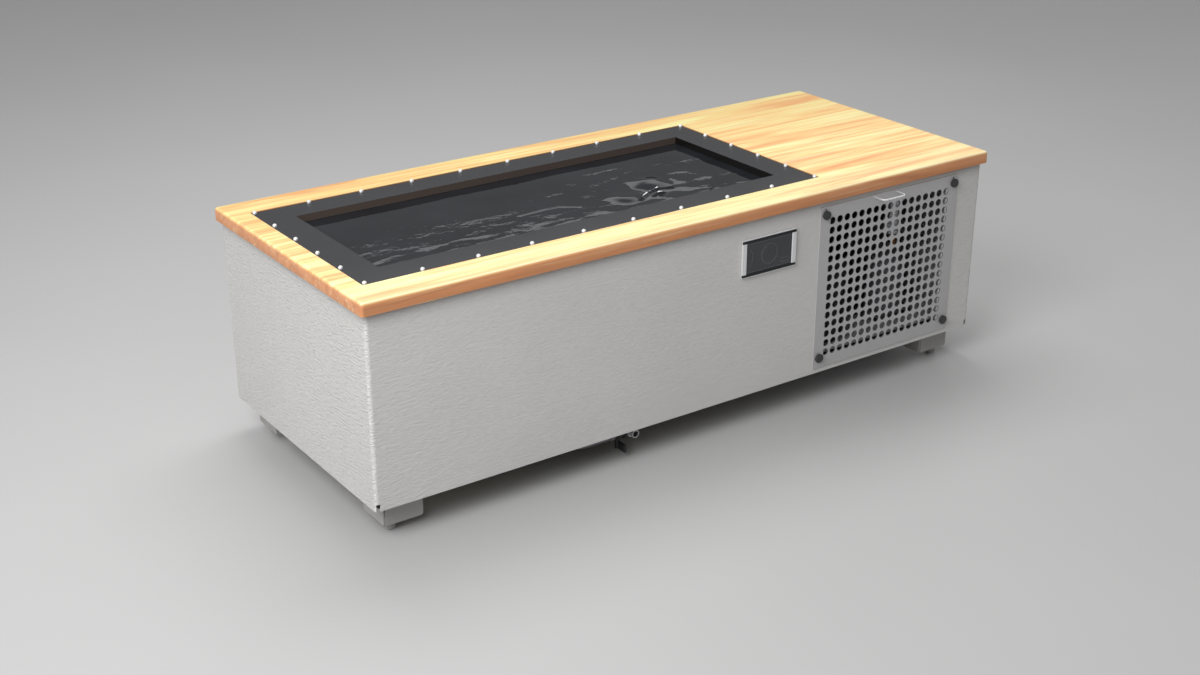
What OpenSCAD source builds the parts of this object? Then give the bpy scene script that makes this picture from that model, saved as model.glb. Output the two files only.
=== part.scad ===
// Cold plunge tub: a chilled one-person basin in a sheet-metal casing with a wooden deck.
// Millimetres. +X runs along the length to the machine bay, -Y is the front, +Z is up.
// The floor is at zero and the origin is under the middle of the whole tub.

/* [Overall] */
// Length of the wooden deck
deck_l = 2340; // [2300:10:2420]
// Width of the wooden deck
deck_w = 948; // [930:2:980]
// Thickness of the wooden deck
deck_t = 40; // [36:1:44]
// How far the deck reaches past the casing on every side
overhang = 14; // [8:1:20]
// Radius of the deck's upright corners and of its upper edge
deck_r = 10; // [6:1:14]
// Thickness of the casing's sheet
sheet_t = 3; // [2:0.5:4]
// Outer radius of the casing's upright corners
casing_r = 12; // [8:1:20]
// Height of the leg brackets under the casing
leg_h = 81; // [75:1:100]
// How far the levelling feet show under the brackets
foot_drop = 29; // [24:1:36]

/* [Casing details] */
// Width of the fold along the casing's top
top_fold = 90; // [80:1:95]
// Width of the fold along the casing's bottom
bottom_fold = 98; // [98:1:100]
// Width of the relief notch at the ends of each bottom fold
relief_w = 12; // [8:1:16]
// Height of the relief notch
relief_h = 22; // [14:1:26]
// How far the access panel covers the casing on each side of the door opening
door_side = 45; // [37:1:52]
// How far the access panel covers the casing above and below the door opening
door_lap = 31; // [29:1:36]
// Depth of the folded jambs round the door opening
jamb_d = 14; // [8:1:20]

/* [Basin] */
// Length of deck between the flange and the deck's right end, over the machine bay
bay_deck = 649; // [645:1:690]
// Width of deck left between the flange and the deck's long edges
side_margin = 114; // [112:1:132]
// Inside depth of the basin below its flange
basin_depth = 500; // [480:5:560]
// Wall thickness of the basin
basin_wall = 8; // [6:1:10]
// Inside radius of the basin's upright corners
basin_r = 3; // [2:0.5:24]
// Width of the flat flange round the basin
flange_w = 102; // [96:1:104]
// Thickness of the flange
flange_t = 4; // [3:0.5:5]
// How far the flange lies below the deck's surface
flange_drop = 2; // [1:0.5:3]
// Strip of deck left between its left end and the flange
rim_margin = 66; // [60:1:72]
// Clearance between the flange's edge and the deck's recess
flange_play = 0.5; // [0.3:0.1:1]
// Width of the ledge in the deck that carries the flange
ledge_w = 30; // [26:1:36]

/* [Flange screws] */
// Number of screws along each long side
screws_long = 10; // [8:1:12]
// Number of screws along each short side
screws_short = 6; // [5:1:7]
// Distance from the recess edge to the middle of a screw
screw_inset = 11; // [10:1:13]
// Diameter of the domed screw head
screw_head_d = 13; // [12:0.5:16]
// Height of the domed screw head
screw_head_h = 9; // [6:0.5:10]
// Diameter of the screw shank
screw_d = 5; // [4:0.5:6]
// Length of the screw shank
screw_l = 30; // [24:1:32]

/* [Insulation] */
// Thickness of the foam jacket round the basin
jacket_t = 30; // [24:1:32]
// Thickness of the foam slab under the basin
base_foam_t = 67; // [60:1:80]

/* [Base frame] */
// Distance from the casing's faces to the frame and the brackets
frame_inset = 48; // [46:1:50]
// Width and height of the frame's square tube
frame_tube = 50; // [48:1:50]
// Wall thickness of the frame's square tube
frame_wall = 4; // [3:0.5:5]
// Width of the upright posts
post_w = 40; // [36:1:42]
// Distance from the drain to the cross bar on its left
bar_left = 90; // [80:1:130]
// Distance from the drain to the cross bar on its right
bar_right = 486; // [260:1:500]
// Wall thickness of the upright posts
post_wall = 3; // [2:0.5:4]
// Thickness of the bulkhead between basin and machine bay
bulkhead_t = 3; // [2:0.5:4]
// Thickness of the machine bay's floor tray
tray_t = 2; // [1.5:0.5:3]
// Height of the tray's front lip
tray_lip_h = 14; // [10:1:20]

/* [Leg brackets and feet] */
// Length of each bracket plate along the casing
bracket_w = 125; // [118:1:130]
// Sheet thickness of the brackets
bracket_t = 4; // [3:0.5:5]
// Radius of the bracket's free lower corners
bracket_r = 8; // [5:1:12]
// Gap between the two bracket plates at their corner
bracket_gap = 2; // [1:0.5:4]
// Distance from the frame's corner to the foot, along the length
foot_x = 36; // [34:1:36]
// Distance from the frame's corner to the foot, across the width
foot_y = 34; // [33:1:36]
// Diameter of the foot's pad
foot_d = 31; // [28:1:34]
// Height of the foot's pad
foot_h = 36; // [32:1:40]
// Radius of the pad's lower edge
foot_edge_r = 4; // [2:1:6]
// Diameter of the foot's threaded stem
stem_d = 16; // [14:1:18]
// Size of the jam nuts across their flats
jam_nut_af = 24; // [22:1:26]
// Thickness of the jam nuts
jam_nut_h = 8; // [6:1:10]
// Diameter of the bracket bolts
bolt_d = 10; // [8:1:10]
// Size of the bracket bolt heads across their flats
bolt_af = 17; // [15:1:18]
// Height of the bracket bolt heads
bolt_head_h = 6; // [5:1:7]
// Distance from the frame's corner to a bracket bolt
bolt_along = 95; // [90:1:100]

/* [Access panel] */
// Width of the access panel
panel_w = 604; // [596:2:610]
// Sheet thickness of the access panel
panel_t = 3; // [2:0.5:4]
// Distance from the casing's right edge to the panel
panel_side = 112; // [104:1:116]
// Distance from the deck's underside to the panel's top
panel_top = 20; // [14:1:24]
// Distance from the casing's bottom to the panel's bottom
panel_bottom = 17; // [12:1:24]
// Radius of the panel's corners
panel_r = 4; // [2:1:8]
// Number of perforations across
holes_across = 17; // [12:1:18]
// Number of perforations down
holes_down = 15; // [10:1:16]
// Diameter of the perforations
hole_d = 24; // [18:0.5:26]
// Distance from the panel's edge to the first perforation's middle
hole_margin = 51; // [48:1:54]

/* [Thumb knobs] */
// Distance from the panel's side to a knob's middle
knob_side = 20; // [17:1:22]
// Distance from the panel's top to an upper knob's middle
knob_top = 26; // [25:1:30]
// Distance from the panel's bottom to a lower knob's middle
knob_bottom = 38; // [34:1:42]
// Diameter of a thumb knob
knob_d = 29; // [24:1:30]
// Thickness of a thumb knob
knob_h = 11; // [9:1:14]
// Depth of the grip flutes round a knob
flute_d = 3; // [2:0.5:4]
// Number of grip flutes
flutes = 18; // [12:1:24]
// Diameter of the knob's stud
stud_d = 6; // [5:0.5:6]
// Length of the knob's stud behind the panel
stud_l = 16; // [14:1:20]
// How far each slot runs out past the knob's middle
slot_reach = 20; // [18:1:21]
// Size of the weld nuts across their flats
weld_nut_af = 13; // [12:0.5:15]
// Thickness of the weld nuts
weld_nut_h = 8; // [6:1:10]

/* [Pull handle] */
// Width of the pull handle between the middles of its arms
handle_w = 98; // [90:1:110]
// Distance from the panel to the middle of the handle's bar
handle_reach = 47; // [42:1:52]
// Diameter of the handle's rod
handle_rod = 6; // [5:0.5:7]
// Radius of the handle's bends, to the rod's middle
handle_bend = 14; // [10:1:18]
// Distance from the panel's top to the rod's middle
handle_top = 6; // [5:0.5:7]
// How far the handle sits left of the panel's middle
handle_shift = 29; // [0:1:40]

/* [Controller] */
// Width of the controller's frame
ctrl_w = 213; // [200:1:220]
// Height of the controller's frame
ctrl_h = 122; // [116:1:130]
// How far the controller stands out of the casing
ctrl_proud = 9; // [8:0.5:12]
// Width of the silver side rails
rail_w = 16; // [14:1:18]
// Height of the ribbed bars at top and bottom
bar_h = 9; // [7:1:11]
// Thickness of the silver lips above and below the bars
lip_t = 2; // [1.5:0.5:3]
// Distance from the controller to the access panel
ctrl_gap = 103; // [95:1:110]
// Distance from the deck's underside to the controller
ctrl_top = 63; // [56:1:70]
// Depth of the controller's box behind the casing
ctrl_box_d = 44; // [36:1:50]
// Thickness of the controller's gasket
gasket_t = 1; // [0.5:0.5:2]
// Diameter of the dial ring on the screen
dial_d = 70; // [60:1:76]

/* [Bay machinery] */
// Diameter of the compressor's can
comp_d = 130; // [116:1:140]
// Height of the compressor's can with its domes
comp_h = 212; // [200:1:230]
// Distance from the casing's front to the compressor's middle
comp_y = 160; // [150:1:170]
// Distance from the bulkhead to the compressor's middle
comp_x = 434; // [420:1:445]
// Height of the rubber mounts under the compressor
grommet_h = 20; // [16:1:24]
// Width of the condenser coil
coil_w = 400; // [380:5:410]
// Height of the condenser coil
coil_h = 400; // [380:5:410]
// Thickness of the condenser coil
coil_t = 50; // [44:1:56]
// Number of fins on the condenser coil
fins = 32; // [20:1:36]
// Diameter of the fan
fan_d = 290; // [260:2:300]
// Number of fan blades
fan_blades_n = 5; // [4:1:7]
// Diameter of the fan's hub
fan_hub_d = 84; // [76:1:92]
// Depth of the fan shroud
shroud_d = 62; // [58:1:66]
// Diameter of the heat exchanger's shell
exch_d = 120; // [110:1:126]
// Height of the heat exchanger
exch_h = 390; // [370:5:400]
// Diameter of the filter housing
filter_d = 130; // [120:1:136]
// Height of the filter housing without its cap
filter_h = 260; // [240:5:270]
// Height of the filter's screw cap
cap_h = 42; // [36:1:50]
// Diameter of the pump motor over its fins
motor_d = 124; // [116:1:130]
// Length of the pump motor
motor_l = 170; // [150:5:180]
// Diameter of the pump's wet end
volute_d = 140; // [130:1:144]
// Diameter of the water hoses
hose_d = 32; // [28:1:34]
// Diameter of the refrigerant lines
line_d = 10; // [8:1:12]
// Diameter of the steriliser tube
uv_d = 46; // [40:1:50]
// Length of the steriliser tube
uv_l = 150; // [140:5:155]

/* [Drain] */
// Diameter of the drain pipe
drain_d = 33; // [28:1:36]
// Outer diameter of the hose outlet
outlet_d = 26.4; // [24:0.2:28]
// Bore of the hose outlet
outlet_bore = 19; // [16:0.5:20]
// Length of the hose outlet's thread
outlet_l = 20; // [16:1:24]
// Height of the drain pipe's middle above the floor
drain_z = 76; // [70:1:80]
// Length of the valve's lever
lever_l = 42; // [36:1:50]
// Height of the valve's lever
lever_h = 24; // [20:1:28]
// Thickness of the valve's lever
lever_t = 7; // [6:0.5:9]

/* [Hidden] */

// Overrun of every cut past the face that it goes through
cut = 1;
// Gap between neighbours that don't touch, such as two moving bodies
gap = 0.3;
// Radial clearance of a running fit
fit = 0.05;
// Diametral clearance of a hole that a bolt or pipe goes through
through = 1;
// Facets of a full circle
$fn = 48;

// Levels, from the floor up
casing_z = foot_drop + leg_h;
frame_z = casing_z + sheet_t;
frame_top = frame_z + frame_tube;
basin_bottom = frame_top + base_foam_t;
basin_floor = basin_bottom + basin_wall;
rim_z = basin_floor + basin_depth;
ledge_z = rim_z - flange_t;
deck_top = rim_z + flange_drop;
deck_z = deck_top - deck_t;
casing_h = deck_z - casing_z;
bay_z = frame_top + tray_t;
under_fold = deck_z - sheet_t;

// Faces of the casing
casing_l = deck_l - 2 * overhang;
casing_w = deck_w - 2 * overhang;
right_x = casing_l / 2;
front_y = -casing_w / 2;
back_y = casing_w / 2;
inner_front = front_y + sheet_t;
inner_back = back_y - sheet_t;
inner_right = right_x - sheet_t;

// The handle reaches out in front further than the deck does behind
panel_face = front_y - gap - panel_t;
place_y = (-(panel_face - handle_reach - handle_rod / 2) - deck_w / 2) / 2;

// Basin and the deck's recess
mouth_l = deck_l - rim_margin - bay_deck - 2 * flange_w;
mouth_w = deck_w - 2 * side_margin - 2 * flange_w;
mouth_x0 = -deck_l / 2 + rim_margin + flange_w;
mouth_x1 = mouth_x0 + mouth_l;
mouth_x = (mouth_x0 + mouth_x1) / 2;
recess_l = mouth_l + 2 * flange_w;
recess_w = mouth_w + 2 * flange_w;
recess_r = 6;
outer_l = mouth_l + 2 * basin_wall;
outer_w = mouth_w + 2 * basin_wall;
outer_r = basin_r + basin_wall;
jacket_l = outer_l + 2 * gap + 2 * jacket_t;
jacket_w = outer_w + 2 * gap + 2 * jacket_t;

// Bulkhead and machine bay
stud_room = 20;
bulkhead_x = mouth_x + jacket_l / 2;
bay_x = bulkhead_x + bulkhead_t;

// Frame, feet and bolts: positions in the corner of the frame, given by signs
frame_l = casing_l - 2 * frame_inset;
frame_w = casing_w - 2 * frame_inset;
corners = [[-1, -1], [1, -1], [-1, 1], [1, 1]];
function foot_at(c) = [c[0] * (frame_l / 2 - foot_x), c[1] * (frame_w / 2 - foot_y)];
function bolt_one(c) = [c[0] * (frame_l / 2 - bolt_along), c[1] * (frame_w / 2 - frame_tube / 2)];
function bolt_two(c) = [c[0] * (frame_l / 2 - frame_tube / 2), c[1] * (frame_w / 2 - bolt_along)];
mid_post_share = 1 / 6;
stem_top = frame_top - tray_t;
bolt_share = 0.6;
bolt_l = frame_tube * bolt_share;

// Access panel, door opening, knobs and handle
panel_x1 = right_x - panel_side;
panel_x = panel_x1 - panel_w / 2;
panel_h = casing_h - panel_top - panel_bottom;
door_w = panel_w - 2 * door_side;
door_h = panel_h - 2 * door_lap;
panel_z1 = deck_z - panel_top;
panel_z = panel_z1 - panel_h / 2;
pitch_across = (panel_w - 2 * hole_margin) / (holes_across - 1);
pitch_down = (panel_h - 2 * hole_margin) / (holes_down - 1);
knob_dx = panel_w / 2 - knob_side;
knob_z_up = panel_h / 2 - knob_top;
knob_z_low = -panel_h / 2 + knob_bottom;
knob_places = [[-knob_dx, knob_z_up], [knob_dx, knob_z_up], [-knob_dx, knob_z_low], [knob_dx, knob_z_low]];
handle_x = panel_x - handle_shift;
handle_z = panel_z1 - handle_top;

// Controller
ctrl_x = panel_x - panel_w / 2 - ctrl_gap - ctrl_w / 2;
ctrl_z = deck_z - ctrl_top - ctrl_h / 2;
ctrl_back = front_y - gasket_t;
ctrl_plate = 3;
lip_back = 1;
screen_w = ctrl_w - 2 * rail_w;
screen_h = ctrl_h - 2 * bar_h - 2 * lip_t;
box_margin = 4;
box_w = screen_w - 2 * box_margin;
box_h = screen_h - 2 * box_margin;

// Filter, at the front left of the bay
filter_from_wall = 55;
filter_from_front = 48;
filter_x = bay_x + filter_d / 2 + filter_from_wall;
filter_y = front_y + filter_d / 2 + filter_from_front;
filter_wall = 6;
filter_foot_share = 0.7;
filter_cone_share = 0.2;
neck_h = 24;
filter_top = bay_z + filter_h;
cartridge_z = bay_z + 2 * filter_wall + filter_d * filter_cone_share;
port_wall = 5;
port_d = hose_d + 2 * port_wall;
port_l = 14;

// Pump, behind the filter
pump_run = 38;
pump_from_front = 310;
pump_lift = 8;
pump_x = filter_x + filter_d / 2 + port_l + pump_run;
pump_y = front_y + pump_from_front;
pump_z = bay_z + volute_d / 2 + pump_lift;
volute_l = 60;

// Heat exchanger, at the left rear
exch_from_wall = 40;
exch_from_back = 330;
exch_x = bay_x + exch_d / 2 + exch_from_wall;
exch_y = back_y - exch_from_back;
exch_base_h = 10;
exch_in_share = 0.82;
exch_out_share = 0.24;
exch_in_z = bay_z + exch_h * exch_in_share;
exch_out_z = bay_z + exch_h * exch_out_share;

// Condenser, fan and shroud against the rear wall
coil_from_wall = 140;
coil_x = bay_x + coil_from_wall + coil_w / 2;
coil_z = bay_z + coil_h / 2;
shroud_y = inner_back - shroud_d;
coil_y = shroud_y - coil_t;
coil_header = 18;
fan_setback = 14;
fan_y = shroud_y + fan_setback;
fan_hub_l = 24;
fan_motor_d = 76;
fan_motor_gap = 2;
fan_shaft_d = 8;
spider_t = 3;
spider_w = 14;
shroud_wall = 2;
guard_rod = 4;
guard_rings = 7;
fan_tip_gap = 8;
vent_d = fan_d + 2 * fan_tip_gap;

// Compressor
comp_at = [bay_x + comp_x, front_y + comp_y];
comp_z = bay_z + grommet_h;
comp_base_t = 4;
comp_foot_inset = 14;
stub_share = 0.62;
comp_base_l = 170;
comp_base_w = 130;

// Steriliser, hung from the top fold near the front
uv_from_comp = 79;
uv_from_front = 57;
uv_hang = 40;
uv_x = comp_at[0] - uv_from_comp;
uv_y = inner_front + uv_from_front;
uv_z1 = under_fold - uv_hang;
uv_z0 = uv_z1 - uv_l;
uv_port_inset = 33;
uv_in_z = uv_z0 + uv_port_inset;
uv_out_z = uv_z1 - uv_port_inset;

// Basin fittings
side_share = 0.29;
jet_share = 0.2;
suction_share = 0.18;
suction_y = -mouth_w * side_share;
suction_z = basin_floor + basin_depth * suction_share;
jet_y = mouth_w * jet_share;
jet_z = uv_out_z;
tail_reach = 14;
tail_end = bay_x + tail_reach;
tail_d = 40;

// Drain
drain_shift = 150;
valve_run = 158;
valve_inset = 75;
outlet_run = 39;
drain_x = mouth_x - drain_shift;
drain_y = -mouth_w * side_share;
valve_x = drain_x + valve_run;
valve_y = front_y + valve_inset;
outlet_x = valve_x + outlet_run;

// Control box on the right wall
ctl_l = 240;
ctl_h = 200;
ctl_d = 96;
ctl_drop = 90;
ctl_y = -20;

// Shapes that several pieces use

module placed() {
    translate([0, place_y, 0]) children();
}

module round_rect(l, w, r) {
    square([l - 2 * r, w], center = true);
    square([l, w - 2 * r], center = true);
    for (sx = [-1, 1], sy = [-1, 1]) translate([sx * (l / 2 - r), sy * (w / 2 - r)]) circle(r = r);
}

module round_block(l, w, r, h) {
    linear_extrude(h) round_rect(l, w, r);
}

module span(x0, x1, y0, y1, z0, z1) {
    translate([x0, y0, z0]) cube([x1 - x0, y1 - y0, z1 - z0]);
}

module facing_front() {
    rotate([90, 0, 0]) children();
}

module facing_back() {
    rotate([90, 0, 180]) children();
}

module facing_right() {
    rotate([90, 0, 90]) children();
}

module facing_left() {
    rotate([90, 0, -90]) children();
}

module ring(d_out, d_in, h) {
    difference() {
        cylinder(d = d_out, h = h);
        translate([0, 0, -cut]) cylinder(d = d_in, h = h + 2 * cut);
    }
}

module hexagon(af, h) {
    cylinder(d = af / cos(30), h = h, $fn = 6);
}

// A box section of square tube along X
module tube_along(l, side, wall) {
    difference() {
        translate([-l / 2, -side / 2, 0]) cube([l, side, side]);
        translate([-l / 2 - cut, -side / 2 + wall, wall])
            cube([l + 2 * cut, side - 2 * wall, side - 2 * wall]);
    }
}

function unit(v) = v / norm(v);

// A straight piece of pipe from one point to another
module pipe_leg(a, b, d) {
    v = b - a;
    translate(a) rotate([0, acos(v[2] / norm(v)), atan2(v[1], v[0])]) cylinder(d = d, h = norm(v));
}

// A quarter bend at a corner point of the route
module pipe_bend(before, at, after, d, bend) {
    u = unit(at - before);
    w = unit(after - at);
    n = cross(u, w);
    c = at + bend * (w - u);
    multmatrix([
        [-w[0], u[0], n[0], c[0]],
        [-w[1], u[1], n[1], c[1]],
        [-w[2], u[2], n[2], c[2]],
        [0, 0, 0, 1]
    ]) rotate_extrude(angle = 90) translate([bend, 0]) circle(d = d);
}

// A pipe along a route of points whose turns are all square
module pipe(route, d, bend) {
    last = len(route) - 1;
    for (i = [0 : last - 1]) {
        u = unit(route[i + 1] - route[i]);
        a = i == 0 ? route[i] : route[i] + bend * u;
        b = i == last - 1 ? route[i + 1] : route[i + 1] - bend * u;
        if (norm(b - a) > gap) pipe_leg(a, b, d);
    }
    for (i = [1 : last - 1]) pipe_bend(route[i - 1], route[i], route[i + 1], d, bend);
}

// Foot and bolt holes, cut through whatever lies over a corner of the frame
module corner_holes(z, h, stem_hole, bolt_hole) {
    for (c = corners) {
        translate([foot_at(c)[0], foot_at(c)[1], z]) cylinder(d = stem_hole, h = h);
        translate([bolt_one(c)[0], bolt_one(c)[1], z]) cylinder(d = bolt_hole, h = h);
        translate([bolt_two(c)[0], bolt_two(c)[1], z]) cylinder(d = bolt_hole, h = h);
    }
}

// Runs its children at each flange screw
module at_screws() {
    lx = recess_l - 2 * screw_inset;
    ly = recess_w - 2 * screw_inset;
    for (i = [0 : screws_long - 1], s = [-1, 1])
        translate([mouth_x - lx / 2 + i * lx / (screws_long - 1), s * ly / 2, 0]) children();
    for (i = [1 : screws_short - 2], s = [-1, 1])
        translate([mouth_x + s * lx / 2, -ly / 2 + i * ly / (screws_short - 1), 0]) children();
}

// Casing

module casing_shell() {
    difference() {
        translate([0, 0, casing_z]) round_block(casing_l, casing_w, casing_r, casing_h);
        translate([0, 0, casing_z + sheet_t])
            round_block(casing_l - 2 * sheet_t, casing_w - 2 * sheet_t, casing_r - sheet_t,
                casing_h - 2 * sheet_t);
        translate([0, 0, casing_z - cut])
            linear_extrude(sheet_t + 2 * cut)
                square([casing_l - 2 * bottom_fold, casing_w - 2 * bottom_fold], center = true);
        translate([0, 0, under_fold - cut])
            linear_extrude(sheet_t + 2 * cut)
                square([casing_l - 2 * top_fold, casing_w - 2 * top_fold], center = true);
    }
}

module door_jambs() {
    translate([panel_x, inner_front + jamb_d, panel_z]) facing_front() linear_extrude(jamb_d) difference() {
        square([door_w + 2 * sheet_t, door_h + 2 * sheet_t], center = true);
        square([door_w, door_h], center = true);
    }
}

module relief_notches() {
    depth = relief_h;
    corner_share = 1 / 3;
    x = casing_l / 2 - casing_r * corner_share - relief_w / 2;
    for (sx = [-1, 1], sy = [-1, 1])
        translate([sx * x - relief_w / 2, sy * casing_w / 2 + (sy < 0 ? -cut : cut - depth), casing_z - cut])
            cube([relief_w, depth, relief_h + cut]);
}

// An eight-sided hole whose flats touch the gland's thread
module punched_gland_hole() {
    flats = 8;
    cylinder(d = (gland_thread_d + 2 * fit) / cos(180 / flats), h = sheet_t + 2 * cut, $fn = flats);
}

module casing() {
    color("gainsboro") placed() difference() {
        union() {
            casing_shell();
            door_jambs();
        }
        relief_notches();
        translate([panel_x, inner_front + cut, panel_z]) facing_front()
            linear_extrude(sheet_t + 2 * cut) square([door_w, door_h], center = true);
        translate([panel_x, inner_front + cut, panel_z]) facing_front()
            for (p = knob_places) translate([p[0], p[1], 0])
                cylinder(d = stud_d + through, h = sheet_t + 2 * cut);
        translate([ctrl_x, inner_front + cut, ctrl_z]) facing_front()
            linear_extrude(sheet_t + 2 * cut) square([box_w + through, box_h + through], center = true);
        translate([coil_x, inner_back - cut, coil_z]) facing_back()
            cylinder(d = vent_d, h = sheet_t + 2 * cut);
        translate([gland_at[0], inner_back - cut, gland_at[1]]) facing_back() punched_gland_hole();
        corner_holes(casing_z - cut, sheet_t + 2 * cut, stem_d + through, bolt_d + through);
    }
}

// Deck

module wood_slab() {
    flat_h = deck_t - deck_r;
    round_block(deck_l, deck_w, deck_r, flat_h);
    linear_extrude(deck_t) square([deck_l - 2 * deck_r, deck_w - 2 * deck_r], center = true);
    for (sx = [-1, 1], sy = [-1, 1])
        translate([sx * (deck_l / 2 - deck_r), sy * (deck_w / 2 - deck_r), flat_h]) sphere(r = deck_r);
    for (s = [-1, 1]) {
        translate([s * (deck_l / 2 - deck_r), deck_w / 2 - deck_r, flat_h])
            facing_front() cylinder(r = deck_r, h = deck_w - 2 * deck_r);
        translate([-deck_l / 2 + deck_r, s * (deck_w / 2 - deck_r), flat_h])
            facing_right() cylinder(r = deck_r, h = deck_l - 2 * deck_r);
    }
}

module wood_top() {
    color("burlywood") placed() difference() {
        translate([0, 0, deck_z]) wood_slab();
        translate([mouth_x, 0, ledge_z]) round_block(recess_l, recess_w, recess_r, deck_t);
        translate([mouth_x, 0, deck_z - cut])
            round_block(recess_l - 2 * ledge_w, recess_w - 2 * ledge_w, recess_r, deck_t);
        at_screws() translate([0, 0, ledge_z - screw_l]) cylinder(d = screw_d + 2 * fit, h = screw_l + cut);
    }
}

// Basin

module tub_basin() {
    color("#48484b") placed() difference() {
        union() {
            translate([mouth_x, 0, ledge_z])
                round_block(recess_l - 2 * flange_play, recess_w - 2 * flange_play, recess_r, flange_t);
            translate([mouth_x, 0, basin_bottom])
                round_block(outer_l, outer_w, outer_r, ledge_z - basin_bottom);
        }
        translate([mouth_x, 0, basin_floor]) round_block(mouth_l, mouth_w, basin_r, basin_depth + cut);
        at_screws() translate([0, 0, ledge_z - cut]) cylinder(d = screw_d + 2 * fit, h = flange_t + 2 * cut);
        translate([mouth_x1 - cut, suction_y, suction_z]) facing_right()
            cylinder(d = tail_d + 2 * fit, h = basin_wall + 2 * cut);
        translate([mouth_x1 - cut, jet_y, jet_z]) facing_right()
            cylinder(d = tail_d + 2 * fit, h = basin_wall + 2 * cut);
        translate([drain_x, drain_y, basin_bottom - cut])
            cylinder(d = tail_d + 2 * fit, h = basin_wall + 2 * cut);
    }
}

// One domed screw, its seat at the origin
module dome_screw() {
    dome_r = (pow(screw_head_d / 2, 2) + pow(screw_head_h, 2)) / (2 * screw_head_h);
    intersection() {
        translate([0, 0, screw_head_h - dome_r]) sphere(r = dome_r);
        cylinder(d = screw_head_d, h = screw_head_h);
    }
    translate([0, 0, -screw_l]) cylinder(d = screw_d, h = screw_l);
}

module flange_screws() {
    color("silver") placed() at_screws() translate([0, 0, rim_z]) dome_screw();
}

// Insulation

module insulation_jacket() {
    top_play = 4;
    color("khaki") placed() difference() {
        translate([mouth_x, 0, basin_bottom])
            round_block(jacket_l, jacket_w, outer_r + jacket_t, ledge_z - top_play - basin_bottom);
        translate([mouth_x, 0, basin_bottom - cut])
            round_block(outer_l + 2 * gap, outer_w + 2 * gap, outer_r + gap, basin_depth + 2 * basin_wall);
        translate([mouth_x1, suction_y, suction_z]) facing_right()
            cylinder(d = tail_d + through, h = bulkhead_x - mouth_x1 + cut);
        translate([mouth_x1, jet_y, jet_z]) facing_right()
            cylinder(d = tail_d + through, h = bulkhead_x - mouth_x1 + cut);
    }
}

module base_insulation() {
    color("khaki") placed() difference() {
        translate([mouth_x, 0, frame_top])
            round_block(jacket_l, jacket_w, outer_r + jacket_t, basin_bottom - frame_top);
        translate([drain_x, drain_y, frame_top - cut])
            cylinder(d = tail_d + through, h = basin_bottom - frame_top + 2 * cut);
    }
}

// Frame

module frame_rail(y) {
    translate([0, y, frame_z]) tube_along(frame_l, frame_tube, frame_wall);
}

module frame_bar(x) {
    translate([x, 0, frame_z]) rotate([0, 0, 90])
        tube_along(frame_w - 2 * frame_tube, frame_tube, frame_wall);
}

module corner_boss(c) {
    x = c[0] * (frame_l - frame_tube) / 2;
    y = c[1] * (frame_w - frame_tube) / 2;
    translate([x - frame_tube / 2, y - frame_tube / 2, frame_z]) cube(frame_tube);
}

module base_frame() {
    rail_y = (frame_w - frame_tube) / 2;
    end_x = (frame_l - frame_tube) / 2;
    color("dimgray") placed() difference() {
        union() {
            for (s = [-1, 1]) frame_rail(s * rail_y);
            for (x = [-end_x, drain_x - bar_left, drain_x + bar_right, bay_x - frame_tube / 2, end_x])
                frame_bar(x);
            for (c = corners) corner_boss(c);
        }
        corner_holes(frame_z - cut, frame_tube + 2 * cut, stem_d + 2 * fit, bolt_d + 2 * fit);
    }
}

module frame_posts() {
    post_h = under_fold - frame_top;
    post_x = (frame_l - post_w) / 2;
    post_y = (frame_w - post_w) / 2;
    color("dimgray") placed()
        for (x = [-post_x, -frame_l * mid_post_share, bulkhead_x - post_w / 2, post_x], s = [-1, 1])
            translate([x, s * post_y, frame_top]) linear_extrude(post_h) difference() {
                square(post_w, center = true);
                square(post_w - 2 * post_wall, center = true);
            }
}

module bulkhead() {
    half = -inner_front - stud_room;
    color("silver") placed() difference() {
        span(bulkhead_x, bay_x, -half, half, frame_top, under_fold);
        translate([bulkhead_x - cut, suction_y, suction_z]) facing_right()
            cylinder(d = tail_d + through, h = bulkhead_t + 2 * cut);
        translate([bulkhead_x - cut, jet_y, jet_z]) facing_right()
            cylinder(d = tail_d + through, h = bulkhead_t + 2 * cut);
    }
}

module bay_floor() {
    half = -inner_front - stud_room;
    x0 = bay_x + gap;
    x1 = inner_right - gap;
    notch = post_w + 2 * gap;
    post_x = frame_l / 2 - post_w - gap;
    post_y = frame_w / 2 - post_w - gap;
    color("darkgray") placed() difference() {
        union() {
            span(x0, x1, -half, half, frame_top, bay_z);
            span(x0, x1, -half, -half + tray_t, frame_top, frame_top + tray_lip_h);
        }
        for (y = [-post_y - notch, post_y])
            span(post_x, post_x + notch, y, y + notch, frame_top - cut, bay_z + cut);
    }
}

// Leg brackets: one folded part, used four times facing the same way

module bracket_plate(w) {
    drop = leg_h - bracket_t;
    difference() {
        translate([0, -drop]) square([w, drop + bracket_t]);
        translate([w - bracket_r, -drop - cut]) square([bracket_r + cut, bracket_r + cut]);
    }
    translate([w - bracket_r, bracket_r - drop]) circle(r = bracket_r);
}

module leg_bracket(c) {
    x0 = c[0] < 0 ? -frame_l / 2 : frame_l / 2 - bracket_w;
    y0 = c[1] < 0 ? -frame_w / 2 : frame_w / 2 - bracket_w;
    top_z = casing_z - bracket_t;
    color("gray") placed() difference() {
        union() {
            span(x0, x0 + bracket_w, y0, y0 + bracket_w, top_z, casing_z);
            translate([x0 + bracket_t + bracket_gap, y0 + bracket_t, top_z]) facing_front()
                linear_extrude(bracket_t) bracket_plate(bracket_w - bracket_t - bracket_gap);
            translate([x0, y0 + bracket_t, top_z]) facing_right()
                linear_extrude(bracket_t) bracket_plate(bracket_w - bracket_t);
        }
        corner_holes(top_z - cut, bracket_t + 2 * cut, stem_d + through, bolt_d + through);
    }
}

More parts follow.
